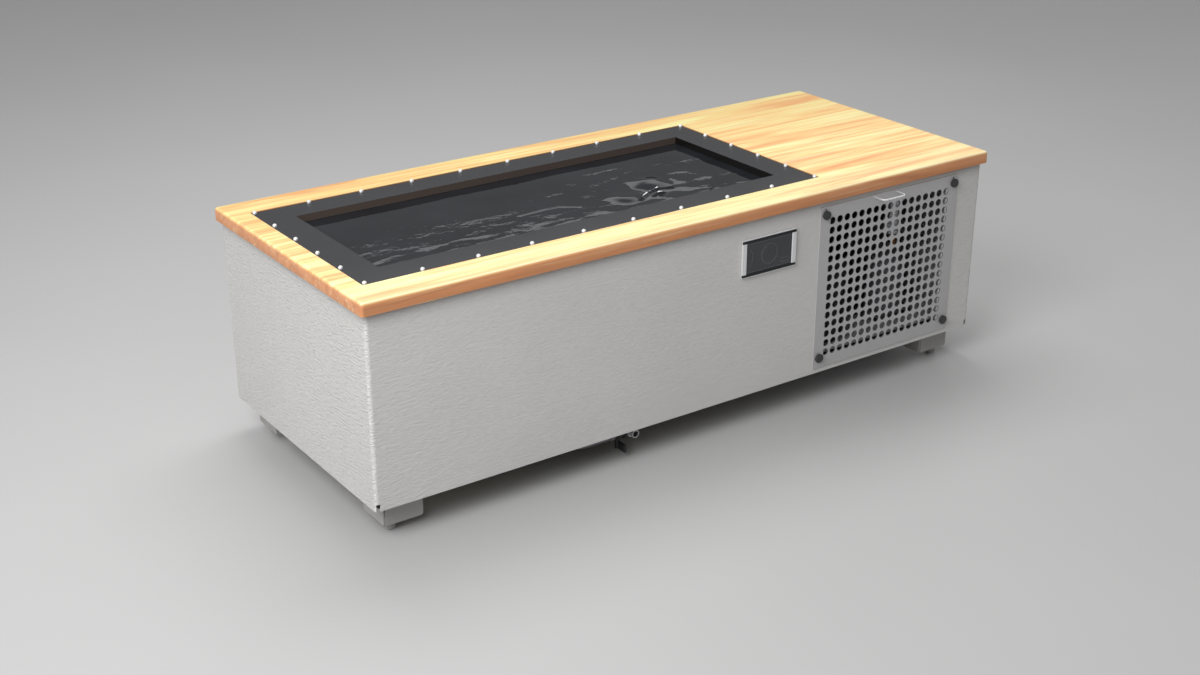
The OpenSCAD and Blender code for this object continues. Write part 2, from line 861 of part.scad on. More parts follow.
module foot(c) {
    pad_r = foot_d / 2;
    color("gray") placed() translate([foot_at(c)[0], foot_at(c)[1], 0]) {
        rotate_extrude() union() {
            square([pad_r - foot_edge_r, foot_h]);
            translate([0, foot_edge_r]) square([pad_r, foot_h - foot_edge_r]);
            intersection() {
                translate([pad_r - foot_edge_r, foot_edge_r]) circle(r = foot_edge_r);
                square([pad_r, foot_h]);
            }
        }
        cylinder(d = stem_d, h = stem_top);
    }
}

module jam_nuts() {
    color("silver") placed() for (c = corners)
        translate([foot_at(c)[0], foot_at(c)[1], casing_z - bracket_t - jam_nut_h]) difference() {
            hexagon(jam_nut_af, jam_nut_h);
            translate([0, 0, -cut]) cylinder(d = stem_d + 2 * fit, h = jam_nut_h + 2 * cut);
        }
}

module bracket_bolts() {
    color("silver") placed() for (c = corners, p = [bolt_one(c), bolt_two(c)])
        translate([p[0], p[1], casing_z - bracket_t]) {
            translate([0, 0, -bolt_head_h]) hexagon(bolt_af, bolt_head_h);
            cylinder(d = bolt_d, h = bolt_l);
        }
}

// Access panel

module panel_outline() {
    difference() {
        round_rect(panel_w, panel_h, panel_r);
        for (i = [0 : holes_across - 1], j = [0 : holes_down - 1])
            translate([i * pitch_across - panel_w / 2, j * pitch_down - panel_h / 2])
                translate([hole_margin, hole_margin]) circle(d = hole_d);
        for (p = knob_places) knob_slot(p);
    }
}

module knob_slot(p) {
    w = stud_d + through;
    out = p[1] > 0 ? 1 : -1;
    end = slot_reach - w / 2;
    translate(p) circle(d = w);
    translate([p[0], p[1] + out * end]) circle(d = w);
    translate([p[0] - w / 2, p[1] + min(0, out * end)]) square([w, end]);
}

module access_panel() {
    color("#868684") placed() translate([panel_x, front_y - gap, panel_z]) facing_front()
        linear_extrude(panel_t) panel_outline();
}

module panel_handle() {
    y0 = panel_face;
    y1 = panel_face - handle_reach;
    a = handle_x - handle_w / 2;
    b = handle_x + handle_w / 2;
    color("silver") placed()
        pipe([[a, y0, handle_z], [a, y1, handle_z], [b, y1, handle_z], [b, y0, handle_z]],
            handle_rod, handle_bend);
}

module thumb_knob(i) {
    p = knob_places[i];
    collar_h = 2;
    collar_share = 0.6;
    color("#3a3b3c") placed() translate([panel_x + p[0], panel_face - gap, panel_z + p[1]]) facing_front() {
        cylinder(d = knob_d * collar_share, h = collar_h);
        translate([0, 0, collar_h]) linear_extrude(knob_h - collar_h) difference() {
            circle(d = knob_d);
            for (k = [0 : flutes - 1])
                rotate(k * 360 / flutes) translate([knob_d / 2, 0]) circle(d = flute_d);
        }
        translate([0, 0, -gap - panel_t - stud_l]) cylinder(d = stud_d, h = stud_l + panel_t + gap);
    }
}

module weld_nuts() {
    color("silver") placed() translate([panel_x, inner_front + weld_nut_h, panel_z]) facing_front()
        for (p = knob_places) translate([p[0], p[1], 0]) difference() {
            hexagon(weld_nut_af, weld_nut_h);
            translate([0, 0, -cut]) cylinder(d = stud_d + 2 * fit, h = weld_nut_h + 2 * cut);
        }
}

// Controller

// The silver rail beside the screen, bevelled along its inner front edge
module side_rail() {
    bevel = 2;
    depth = ctrl_proud - gasket_t;
    linear_extrude(screen_h) difference() {
        square([rail_w, depth]);
        translate([rail_w, depth]) rotate(45) square(bevel * sqrt(2), center = true);
    }
}

module controller_frame() {
    depth = ctrl_proud - gasket_t - lip_back;
    color("silver") placed() translate([ctrl_x, ctrl_back, ctrl_z]) facing_front() {
        difference() {
            round_block(ctrl_w, ctrl_h, lip_t, ctrl_plate);
            translate([0, 0, -cut])
                linear_extrude(ctrl_plate + 2 * cut)
                    square([box_w + through, box_h + through], center = true);
        }
        for (y = [-ctrl_h / 2, ctrl_h / 2 - lip_t])
            translate([-ctrl_w / 2, y, 0]) cube([ctrl_w, lip_t, depth]);
        for (m = [0, 1]) mirror([m, 0, 0])
            translate([-ctrl_w / 2, -screen_h / 2, 0]) rotate([-90, 0, 0]) mirror([0, 1, 0]) side_rail();
    }
}

module controller_bars() {
    depth = ctrl_proud - gasket_t;
    ribs = 44;
    rib_w = 1.2;
    step = ctrl_w / ribs;
    color("#232528") placed() translate([ctrl_x, ctrl_back, ctrl_z]) facing_front()
        for (s = [-1, 1]) translate([0, s * (screen_h + bar_h) / 2, 0]) {
            translate([-ctrl_w / 2, -bar_h / 2, ctrl_plate])
                cube([ctrl_w, bar_h, depth - ctrl_plate - lip_back]);
            for (i = [0 : ribs - 1])
                translate([-ctrl_w / 2 + i * step + (step - rib_w) / 2, -bar_h / 2, ctrl_plate])
                    cube([rib_w, bar_h, depth - ctrl_plate]);
        }
}

module controller_screen() {
    glass_t = 3;
    groove_w = 1.5;
    y = ctrl_back - ctrl_plate;
    color("#303236") placed() translate([ctrl_x, y, ctrl_z]) facing_front() difference() {
        translate([-screen_w / 2 + gap, -screen_h / 2 + gap, 0])
            cube([screen_w - 2 * gap, screen_h - 2 * gap, glass_t]);
        translate([0, 0, glass_t - gap]) ring(dial_d + groove_w, dial_d - groove_w, cut);
    }
}

module controller_gasket() {
    color("black") placed() translate([ctrl_x, front_y, ctrl_z]) facing_front() linear_extrude(gasket_t)
        difference() {
            round_rect(ctrl_w - 2 * lip_t, ctrl_h - 2 * lip_t, lip_t);
            square([box_w + through, box_h + through], center = true);
        }
}

module controller_box() {
    deep = ctrl_box_d + sheet_t + gasket_t + ctrl_plate;
    vents = 8;
    vent_w = 4;
    vents_share = 2 / 3;
    vent_step = box_w * vents_share / (vents - 1);
    y = inner_front + ctrl_box_d;
    color("#55585c") placed() translate([ctrl_x, y, ctrl_z]) facing_front() difference() {
        round_block(box_w, box_h, box_margin, deep);
        for (i = [0 : vents - 1])
            translate([(i - (vents - 1) / 2) * vent_step - vent_w / 2, box_h / 2 - vent_w, vent_w])
                cube([vent_w, vent_w + cut, ctrl_box_d - 2 * vent_w]);
    }
}

// Machinery in the bay

module compressor() {
    r = comp_d / 2;
    dome = r / 2;
    ball = (r * r + dome * dome) / (2 * dome);
    seam_h = 8;
    seam_t = 3;
    seam_share = 0.52;
    foot_share = 0.8;
    low = dome * foot_share / 2;
    cover_d = 39;
    cover_in = 7;
    cover_out = 13;
    cover_share = 0.62;
    can_h = comp_h - comp_base_t;
    color("#4f5256") placed() translate([comp_at[0], comp_at[1], comp_z]) {
        difference() {
            round_block(comp_base_l, comp_base_w, comp_base_t * 2, comp_base_t);
            for (p = comp_feet) translate([p[0], p[1], -cut])
                cylinder(d = bolt_d + through, h = comp_base_t + 2 * cut);
        }
        translate([0, 0, comp_base_t]) rotate_extrude() union() {
            square([r * foot_share, can_h - dome]);
            translate([0, low]) square([r, can_h - dome - low]);
            translate([0, can_h * seam_share]) square([r + seam_t, seam_h]);
            translate([0, can_h - dome]) intersection() {
                square([r, dome]);
                translate([0, dome - ball]) circle(r = ball, $fn = 96);
            }
        }
        for (s = [-1, 1]) translate([s * r * stub_share, 0, comp_h - dome]) cylinder(d = line_d, h = dome);
        translate([0, cover_in - r, comp_h * cover_share]) facing_front()
            cylinder(d = cover_d, h = cover_in + cover_out);
    }
}

comp_feet = [for (sx = [-1, 1], sy = [-1, 1])
    [sx * (comp_base_l / 2 - comp_foot_inset), sy * (comp_base_w / 2 - comp_foot_inset)]];

module compressor_mounts() {
    waist = 3;
    grommet_r = 13;
    color("#1c1c1c") placed() for (p = comp_feet)
        translate([comp_at[0] + p[0], comp_at[1] + p[1], bay_z]) {
            rotate_extrude() difference() {
                square([grommet_r, grommet_h]);
                translate([grommet_r, grommet_h / 2]) circle(r = waist);
            }
            cylinder(d = bolt_d, h = grommet_h + comp_base_t);
            translate([0, 0, grommet_h + comp_base_t]) hexagon(bolt_af, bolt_head_h);
        }
}

module condenser_coil() {
    fin_t = 1.5;
    fin_proud = 4;
    tube_rows = 8;
    step = (coil_w - 2 * coil_header) / fins;
    pitch = coil_h / tube_rows;
    core_w = coil_w - 2 * coil_header;
    color("#8d8f92") placed() translate([coil_x, coil_y, bay_z]) {
        span(-coil_w / 2, -core_w / 2, 0, coil_t, 0, coil_h);
        span(core_w / 2, coil_w / 2, 0, coil_t, 0, coil_h);
        span(-core_w / 2, core_w / 2, fin_proud, coil_t - fin_proud, 0, coil_h);
        for (i = [0 : fins - 1])
            translate([-core_w / 2 + i * step + (step - fin_t) / 2, 0, 0]) cube([fin_t, coil_t, coil_h]);
        for (k = [0 : tube_rows / 2 - 1]) translate([-coil_w / 2, coil_t / 2, (2 * k + 1) * pitch])
            facing_left() rotate([0, 90, 0]) rotate_extrude(angle = 180)
                translate([pitch / 2, 0]) circle(d = line_d);
    }
}

module fan_shroud() {
    ring_w = 4;
    duct_share = 0.75;
    hollow = shroud_d - shroud_wall + cut;
    color("#2c2d2f") placed() translate([coil_x, inner_back, coil_z]) facing_front() {
        difference() {
            translate([0, 0, shroud_d / 2]) cube([coil_w, coil_h, shroud_d], center = true);
            translate([0, 0, shroud_wall + hollow / 2])
                cube([coil_w - 2 * shroud_wall, coil_h - 2 * shroud_wall, hollow], center = true);
            translate([0, 0, -cut]) cylinder(d = vent_d, h = shroud_wall + 2 * cut);
        }
        ring(vent_d + 2 * ring_w, vent_d, shroud_d * duct_share);
        for (k = [0 : 2]) rotate(90 + k * 120) translate([fan_motor_d / 2 - spider_t, -spider_w / 2, 0])
            cube([vent_d / 2 - fan_motor_d / 2 + 2 * spider_t, spider_w, spider_t]);
        ring(fan_motor_d + 2 * spider_t, fan_motor_d - 2 * spider_t, spider_t);
    }
}

module fan_motor() {
    body_l = inner_back - spider_t - fan_y - fan_hub_l - fan_motor_gap;
    step_share = 0.8;
    color("#606468") placed() translate([coil_x, inner_back - spider_t, coil_z]) facing_front() {
        cylinder(d = fan_motor_d, h = body_l * step_share);
        cylinder(d = fan_motor_d * step_share, h = body_l);
        cylinder(d = fan_shaft_d, h = body_l + fan_motor_gap + fan_hub_l - gap);
        translate([0, 0, -spider_t]) cylinder(d = fan_motor_d - 2 * spider_t - through, h = spider_t);
    }
}

// One pitched blade, round at its tip, its root inside the hub
module fan_blade() {
    blade_t = 2;
    chord_share = 0.2;
    chord = fan_d * chord_share;
    pitch_angle = 22;
    translate([0, 0, fan_hub_l / 2]) rotate([pitch_angle, 0, 0]) translate([0, 0, -blade_t / 2])
        linear_extrude(blade_t) intersection() {
            circle(d = fan_d);
            translate([fan_hub_d / 4, -chord / 2]) square([fan_d / 2, chord]);
        }
}

module fan() {
    color("#1b1c1e") placed() translate([coil_x, fan_y + fan_hub_l, coil_z]) facing_front() difference() {
        union() {
            cylinder(d = fan_hub_d, h = fan_hub_l);
            for (k = [0 : fan_blades_n - 1]) rotate(k * 360 / fan_blades_n) fan_blade();
        }
        translate([0, 0, -cut]) cylinder(d = fan_shaft_d + 2 * fit, h = fan_hub_l + 2 * cut);
    }
}

module fan_guard() {
    step = (vent_d / 2 + guard_rod) / guard_rings;
    spoke_w = 5;
    spoke_t = 2;
    tab_d = 16;
    reach = vent_d / 2 + tab_d;
    color("#2c2d2f") placed() translate([coil_x, back_y, coil_z]) facing_back() {
        for (k = [1 : guard_rings])
            translate([0, 0, spoke_t / 2])
                ring(2 * k * step + guard_rod, 2 * k * step - guard_rod, guard_rod);
        for (k = [0 : 3]) rotate(45 + k * 90) {
            translate([step - guard_rod / 4, -spoke_w / 2, 0]) cube([reach - step, spoke_w, spoke_t]);
            translate([reach, 0, 0]) cylinder(d = tab_d, h = spoke_t);
        }
    }
}

module heat_exchanger() {
    band_t = 2;
    band_h = 14;
    band_shares = [0.08, 0.86];
    base_share = 1.15;
    r = exch_d / 2;
    color("#2f3235") placed() translate([exch_x, exch_y, bay_z]) {
        cylinder(r = r * base_share, h = exch_base_h);
        cylinder(r = r, h = exch_h);
        for (share = band_shares) translate([0, 0, exch_h * share]) cylinder(r = r + band_t, h = band_h);
        translate([0, 0, exch_out_z - bay_z]) facing_right() cylinder(d = port_d, h = r + port_l);
        translate([0, 0, exch_in_z - bay_z]) facing_front() cylinder(d = port_d, h = r + port_l);
    }
}

module circulation_pump() {
    r = volute_d / 2;
    nose_share = 0.6;
    foot_inset = 4;
    color("#232528") placed() translate([pump_x, pump_y, pump_z]) {
        facing_back() cylinder(r = r, h = volute_l);
        facing_front() cylinder(d = volute_d * nose_share, h = port_l);
        facing_front() translate([0, 0, port_l]) cylinder(d = port_d, h = port_l);
        translate([0, volute_l / 2, 0]) cylinder(d = port_d, h = r + port_l);
        translate([-r * nose_share, foot_inset, bay_z - pump_z])
            cube([2 * r * nose_share, volute_l - 2 * foot_inset, r * nose_share]);
    }
}

module pump_motor() {
    fin_n = 24;
    fin_h = 7;
    shy = 1;
    fin_t = 3;
    fins_from = 17;
    fins_to = 139;
    bell_l = 20;
    end_l = 34;
    foot_w = 74;
    foot_l = 42;
    foot_in = 31;
    box_w = 50;
    box_l = 68;
    box_from = 51;
    box_top = 16;
    r = motor_d / 2;
    color("#3c4a57") placed() translate([pump_x, pump_y + volute_l, pump_z]) facing_back() {
        cylinder(r = r - fin_h, h = motor_l);
        for (k = [0 : fin_n - 1]) rotate(k * 360 / fin_n) translate([0, -fin_t / 2, fins_from])
            cube([r - shy, fin_t, fins_to - fins_from]);
        cylinder(r = r, h = bell_l);
        translate([0, 0, motor_l - end_l]) cylinder(r = r, h = end_l);
        translate([-foot_w / 2, bay_z - pump_z, end_l])
            cube([foot_w, pump_z - bay_z - foot_in, foot_l]);
        translate([-box_w / 2, foot_in, box_from]) cube([box_w, r - foot_in + box_top, box_l]);
    }
}

module filter_housing() {
    r = filter_d / 2;
    cone_h = filter_d * filter_cone_share;
    shoulder = filter_wall + cone_h;
    ribs = 8;
    rib_t = 3;
    rib_share = 0.5;
    color("#1f2124") placed() translate([filter_x, filter_y, bay_z]) difference() {
        union() {
            cylinder(r = r * filter_foot_share, h = filter_wall);
            translate([0, 0, filter_wall])
                cylinder(r1 = r * filter_foot_share, r2 = r, h = cone_h, $fn = 64);
            translate([0, 0, shoulder]) cylinder(r = r, h = filter_h - shoulder);
            translate([0, 0, shoulder]) cylinder(r = r - filter_wall / 2, h = filter_h + neck_h - shoulder);
            for (k = [0 : ribs - 1]) rotate((k + 0.5) * 360 / ribs)
                translate([r - rib_t, -rib_t, shoulder]) cube([2 * rib_t, 2 * rib_t, filter_h * rib_share]);
            translate([0, 0, suction_z - bay_z]) facing_back() cylinder(d = port_d, h = r + port_l);
            translate([0, 0, pump_z - bay_z]) facing_right() cylinder(d = port_d, h = r + port_l);
        }
        translate([0, 0, cartridge_z - bay_z]) cylinder(r = r - 2 * filter_wall, h = filter_h + neck_h);
    }
}

module filter_cap() {
    r = filter_d / 2;
    grips = 16;
    grip_d = 7;
    cap_wall = 4;
    neck_r = r - filter_wall / 2;
    color("#16181a") placed() translate([filter_x, filter_y, filter_top + gap]) difference() {
        union() {
            cylinder(r = r + cap_wall, h = cap_h);
            for (k = [0 : grips - 1]) rotate(k * 360 / grips)
                translate([r + cap_wall - gap, 0, 0]) cylinder(d = grip_d, h = cap_h - cap_wall);
            translate([0, 0, cap_h]) cylinder(r = r / 2, h = cap_wall);
        }
        translate([0, 0, -cut]) cylinder(r = neck_r + fit, h = neck_h + gap + cut);
    }
}

module filter_cartridge() {
    pleats = 36;
    play = 3;
    lip = 1;
    pleat_d = 9;
    r_out = filter_d / 2 - 2 * filter_wall - play;
    r_in = r_out - pleat_d;
    core_r = 14;
    end_h = 8;
    h = filter_top + neck_h - cartridge_z;
    color("whitesmoke") placed() translate([filter_x, filter_y, cartridge_z]) difference() {
        union() {
            translate([0, 0, end_h / 2]) linear_extrude(h - end_h) polygon([for (k = [0 : 2 * pleats - 1])
                (k % 2 == 0 ? r_out : r_in) * [cos(k * 180 / pleats), sin(k * 180 / pleats)]]);
            cylinder(r = r_out + lip, h = end_h);
            translate([0, 0, h - end_h]) cylinder(r = r_out + lip, h = end_h);
        }
        translate([0, 0, end_h]) cylinder(r = core_r, h = h);
    }
}

module steriliser() {
    strap_t = 3;
    strap_w = 34;
    cap_t = 10;
    cap_edge = 3;
    uv_port_d = 36;
    r = uv_d / 2;
    back = uv_y + r - strap_t / 2;
    color("#c9ccd0") placed() {
        translate([uv_x, uv_y, uv_z0]) {
            translate([0, 0, cap_t]) cylinder(r = r, h = uv_l - 2 * cap_t);
            cylinder(r = r + cap_edge, h = cap_t);
            translate([0, 0, uv_l - cap_t]) cylinder(r = r + cap_edge, h = cap_t);
            translate([0, 0, uv_in_z - uv_z0]) facing_left() cylinder(d = uv_port_d, h = r + port_l);
            translate([0, 0, uv_out_z - uv_z0]) facing_right() cylinder(d = uv_port_d, h = r + port_l);
        }
        span(uv_x - strap_w / 2, uv_x + strap_w / 2, back, back + strap_t, uv_z0 + 2 * cap_t, under_fold);
        span(uv_x - strap_w / 2, uv_x + strap_w / 2, uv_y, back + strap_t, under_fold - strap_t, under_fold);
    }
}

// Water hoses: from the basin through filter, pump, exchanger and steriliser, and back to the jet
module hoses() {
    bend = 35;
    rise_run = 44;
    filter_in_y = filter_y + filter_d / 2 + port_l;
    filter_out_x = filter_x + filter_d / 2 + port_l;
    pump_in_y = pump_y - 2 * port_l;
    pump_out = [pump_x, pump_y + volute_l / 2, pump_z + volute_d / 2 + port_l];
    exch_in_y = exch_y - exch_d / 2 - port_l;
    exch_out_x = exch_x + exch_d / 2 + port_l;
    rise_x = pump_x + rise_run;
    uv_left = uv_x - uv_d / 2 - port_l;
    uv_right = uv_x + uv_d / 2 + port_l;
    return_x = uv_right + bend;
    color("#1d1e20") placed() {
        pipe([[tail_end, suction_y, suction_z], [filter_x, suction_y, suction_z],
            [filter_x, filter_in_y, suction_z]], hose_d, bend);
        pipe([[filter_out_x, filter_y, pump_z], [pump_x, filter_y, pump_z], [pump_x, pump_in_y, pump_z]],
            hose_d, bend);
        pipe([pump_out, [pump_out[0], pump_out[1], exch_in_z], [exch_x, pump_out[1], exch_in_z],
            [exch_x, exch_in_y, exch_in_z]], hose_d, bend);
        pipe([[exch_out_x, exch_y, exch_out_z], [rise_x, exch_y, exch_out_z], [rise_x, exch_y, uv_in_z],
            [rise_x, uv_y, uv_in_z], [uv_left, uv_y, uv_in_z]], hose_d, bend);
        pipe([[uv_right, uv_y, jet_z], [return_x, uv_y, jet_z], [return_x, jet_y, jet_z],
            [tail_end, jet_y, jet_z]], hose_d, bend);
    }
}

// Refrigerant lines between compressor, condenser and exchanger
module refrigerant_lines() {
    bend = line_d * 2;
    jog = 90;
    hot_rise = 50;
    liquid_share = 0.93;
    port_x = comp_d / 2 * stub_share;
    header_x = coil_w / 2 - coil_header / 2;
    comp_top = comp_z + comp_h;
    hot_z = comp_top + hot_rise;
    cold_z = bay_z + exch_h + 2 * bend;
    liquid_z = bay_z + exch_h * liquid_share;
    color("#b0713f") placed() {
        pipe([[comp_at[0] + port_x, comp_at[1], comp_top], [comp_at[0] + port_x, comp_at[1], hot_z],
            [comp_at[0] + port_x, coil_y - jog, hot_z], [coil_x + header_x, coil_y - jog, hot_z],
            [coil_x + header_x, coil_y, hot_z]], line_d, bend);
        pipe([[coil_x - header_x, coil_y, liquid_z], [coil_x - header_x, coil_y - jog, liquid_z],
            [exch_x, coil_y - jog, liquid_z], [exch_x, exch_y + exch_d / 2, liquid_z]], line_d, bend);
        pipe([[exch_x, exch_y, bay_z + exch_h], [exch_x, exch_y, cold_z],
            [comp_at[0] - port_x, exch_y, cold_z], [comp_at[0] - port_x, comp_at[1], cold_z],
            [comp_at[0] - port_x, comp_at[1], comp_top]], line_d, bend);
    }
}

// Control box on the right wall, its lid facing the bay
module control_box() {
    lid_t = 4;
    lid_lap = 3;
    screw_r = 4;
    screw_t = 2;
    inset = 12;
    corner = 6;
    entry_l = 16;
    z = deck_z - ctl_drop - ctl_h / 2;
    color("#8f9498") placed() translate([inner_right, ctl_y, z]) facing_left() {
        round_block(ctl_l, ctl_h, corner, ctl_d - lid_t);
        translate([0, 0, ctl_d - lid_t])
            round_block(ctl_l + 2 * lid_lap, ctl_h + 2 * lid_lap, corner + lid_lap, lid_t);
        for (sx = [-1, 1], sy = [-1, 1])
            translate([sx * (ctl_l / 2 - inset), sy * (ctl_h / 2 - inset), ctl_d])
                cylinder(r = screw_r, h = screw_t);
        for (k = [-1, 0, 1]) translate([k * ctl_l / 4, -ctl_h / 2 - entry_l, ctl_d / 2]) facing_back()
            cylinder(d = gland_thread_d, h = entry_l);
    }
}

gland_thread_d = 20;
gland_from_right = 76;
gland_up = 100;
gland_at = [right_x - gland_from_right, casing_z + gland_up];

module cable_gland() {
    nut_h = 6;
    nut_af = 27;
    dome_h = 6;
    cable_bore = 10;
    inside = sheet_t + nut_h;
    color("#202224") placed() translate([gland_at[0], back_y, gland_at[1]]) facing_back() difference() {
        union() {
            hexagon(nut_af, nut_h);
            translate([0, 0, nut_h]) cylinder(d = gland_thread_d, h = dome_h);
            translate([0, 0, -inside]) cylinder(d = gland_thread_d, h = inside);
            translate([0, 0, -inside]) hexagon(nut_af, nut_h);
        }
        translate([0, 0, -inside - cut]) cylinder(d = cable_bore, h = inside + nut_h + dome_h + 2 * cut);
    }
}

// Basin fittings

module suction_grate() {
    face_d = 110;
    face_h = 8;
    slot_w = 5;
    slots = 7;
    pitch = 12;
    rim = 8;
    slot_share = 0.6;
    color("#2b2c2e") placed() translate([mouth_x1, suction_y, suction_z]) {
        difference() {
            facing_left() cylinder(d = face_d, h = face_h);
            for (i = [0 : slots - 1]) {
                y = (i - (slots - 1) / 2) * pitch;
                half = sqrt(pow(face_d / 2 - rim, 2) - y * y);
                translate([-face_h - cut, y - slot_w / 2, -half])
                    cube([face_h * slot_share + cut, slot_w, 2 * half]);
            }
        }
        facing_right() cylinder(d = tail_d, h = tail_end - mouth_x1);
    }
}

module return_jet() {
    face_d = 84;
    face_h = 6;
    eye_r = 22;
    eye_bore = 16;
    color("#2b2c2e") placed() translate([mouth_x1, jet_y, jet_z]) difference() {
        union() {
            facing_left() cylinder(d = face_d, h = face_h);
            translate([-face_h, 0, 0]) intersection() {
                translate([eye_r / 2, 0, 0]) sphere(r = eye_r);
                facing_left() cylinder(r = eye_r, h = eye_r);
            }
            facing_right() cylinder(d = tail_d, h = tail_end - mouth_x1);
        }
        translate([-eye_r, 0, 0]) facing_right() cylinder(d = eye_bore, h = 2 * eye_r);
    }
}

module drain_grate() {
    face_d = 92;
    face_h = 5;
    slot_w = 4;
    slots = 12;
    slot_r = 16;
    rim = 8;
    skin = 2;
    tail_z = frame_top - basin_floor;
    color("#8c8f92") placed() translate([drain_x, drain_y, basin_floor]) {
        difference() {
            cylinder(d = face_d, h = face_h);
            for (k = [0 : slots - 1]) rotate(k * 360 / slots)
                translate([slot_r, -slot_w / 2, skin]) cube([face_d / 2 - slot_r - rim, slot_w, face_h]);
        }
        translate([0, 0, tail_z]) cylinder(d = tail_d, h = -tail_z);
    }
}

// Drain line under the tub

module drain_pipe() {
    bend = 40;
    socket_l = 16;
    socket_t = 3;
    color("#77787a") placed() {
        pipe([[drain_x, drain_y, frame_top], [drain_x, drain_y, drain_z], [drain_x, valve_y, drain_z],
            [valve_x - valve_half, valve_y, drain_z]], drain_d, bend);
        translate([valve_x - valve_half - socket_l, valve_y, drain_z]) facing_right()
            cylinder(d = drain_d + 2 * socket_t, h = socket_l);
    }
}

valve_half = 21;
valve_d = 36;
hub_d = 17;
hub_drop = 9;
hub_z = drain_z - valve_d / 2 - hub_drop;
hub_pin_d = 7;

module drain_valve() {
    collar_l = 6;
    collar_t = 3;
    color("#1d1f21") placed() translate([valve_x, valve_y, drain_z]) {
        translate([-valve_half, 0, 0]) facing_right() cylinder(d = valve_d, h = 2 * valve_half);
        for (x = [-valve_half, valve_half - collar_l])
            translate([x, 0, 0]) facing_right() cylinder(d = valve_d + 2 * collar_t, h = collar_l);
        translate([0, 0, hub_z - drain_z]) cylinder(d = hub_d, h = drain_z - hub_z);
        translate([0, 0, hub_z - drain_z - lever_h]) cylinder(d = hub_pin_d, h = lever_h);
    }
}

module valve_lever() {
    color("#131415") placed() translate([valve_x, valve_y, hub_z - gap - lever_h]) difference() {
        union() {
            cylinder(d = hub_d, h = lever_h);
            translate([-lever_t / 2, -lever_l, 0]) cube([lever_t, lever_l, lever_h]);
        }
        translate([0, 0, -cut]) cylinder(d = hub_pin_d + 2 * fit, h = lever_h + 2 * cut);
    }
}

module drain_outlet() {
    elbow_d = 34;
    neck = 4;
    nose = elbow_d / 2 + neck;
    color("#b8b9ba") placed() translate([outlet_x, valve_y, drain_z]) difference() {
        union() {
            facing_left() cylinder(d = elbow_d, h = outlet_x - valve_x - valve_half);
            sphere(d = elbow_d);
            facing_front() cylinder(d = elbow_d, h = nose);
            facing_front() cylinder(d = outlet_d, h = nose + outlet_l);
        }
        facing_front() cylinder(d = outlet_bore, h = nose + outlet_l + cut);
    }
}

casing();
wood_top();
tub_basin();
flange_screws();
insulation_jacket();
base_insulation();
base_frame();
frame_posts();
bulkhead();
bay_floor();
leg_bracket(corners[0]);  // leg_bracket_front_left
leg_bracket(corners[1]);  // leg_bracket_front_right
leg_bracket(corners[2]);  // leg_bracket_rear_left
leg_bracket(corners[3]);  // leg_bracket_rear_right
foot(corners[0]);  // foot_front_left
foot(corners[1]);  // foot_front_right
foot(corners[2]);  // foot_rear_left
foot(corners[3]);  // foot_rear_right
jam_nuts();
bracket_bolts();
access_panel();
panel_handle();
thumb_knob(0);  // knob_upper_left
thumb_knob(1);  // knob_upper_right
thumb_knob(2);  // knob_lower_left
thumb_knob(3);  // knob_lower_right
weld_nuts();
controller_frame();
controller_bars();
controller_screen();
controller_gasket();
controller_box();
compressor();
compressor_mounts();
condenser_coil();
fan_shroud();
fan_motor();
fan();
fan_guard();
heat_exchanger();
refrigerant_lines();
circulation_pump();
pump_motor();
filter_housing();
filter_cap();
filter_cartridge();
steriliser();
hoses();
control_box();
cable_gland();
suction_grate();
return_jet();
drain_grate();
drain_pipe();
drain_valve();
drain_outlet();
valve_lever();
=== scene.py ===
"""Looks for the cold plunge tub: materials, water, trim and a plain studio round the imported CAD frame.

Lengths are in metres. X runs along the tub to its right end, Y from front to rear, and Z up.
"""
import math

import bmesh
import bpy
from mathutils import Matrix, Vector, noise


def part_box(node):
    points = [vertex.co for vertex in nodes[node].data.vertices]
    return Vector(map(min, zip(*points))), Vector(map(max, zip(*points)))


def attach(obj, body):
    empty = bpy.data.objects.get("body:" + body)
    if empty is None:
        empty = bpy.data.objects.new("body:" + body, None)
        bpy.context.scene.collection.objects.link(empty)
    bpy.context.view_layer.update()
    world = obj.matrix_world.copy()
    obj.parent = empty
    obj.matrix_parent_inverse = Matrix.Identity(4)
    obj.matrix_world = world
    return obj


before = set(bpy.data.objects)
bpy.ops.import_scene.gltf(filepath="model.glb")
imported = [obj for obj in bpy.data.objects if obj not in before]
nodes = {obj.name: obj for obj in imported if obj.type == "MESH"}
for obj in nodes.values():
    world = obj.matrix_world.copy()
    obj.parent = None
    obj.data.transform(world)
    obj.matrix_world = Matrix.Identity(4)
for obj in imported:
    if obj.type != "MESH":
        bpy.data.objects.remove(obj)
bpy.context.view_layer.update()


# Places on the frame that the looks are measured from

casing_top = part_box("casing")[1].z
wood_lo, wood_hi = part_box("wood_top")
mid_y = (wood_lo.y + wood_hi.y) / 2
panel_lo, panel_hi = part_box("access_panel")
basin_lo, basin_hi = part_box("tub_basin")
screen_lo, screen_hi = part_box("controller_screen")
outlet_lo, outlet_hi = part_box("drain_outlet")
water_drop = 0.0225
water_z = basin_hi.z - water_drop


# Materials

black, white = (0, 0, 0), (1, 1, 1)
# The numbers of the colour mix's sockets, since its names are shared with other kinds of mix
mix_amount, mix_a, mix_b, mix_result = 0, 6, 7, 2


def lin(code):
    """The linear colour of a web colour such as #c8c8c5."""
    v = [int(code[i:i + 2], 16) / 255 for i in (1, 3, 5)]
    return tuple(((x + 0.055) / 1.055) ** 2.4 if x > 0.04045 else x / 12.92 for x in v)


def shade(rgb, k):
    """A colour made k times as bright."""
    return tuple(min(1, v * k) for v in rgb)


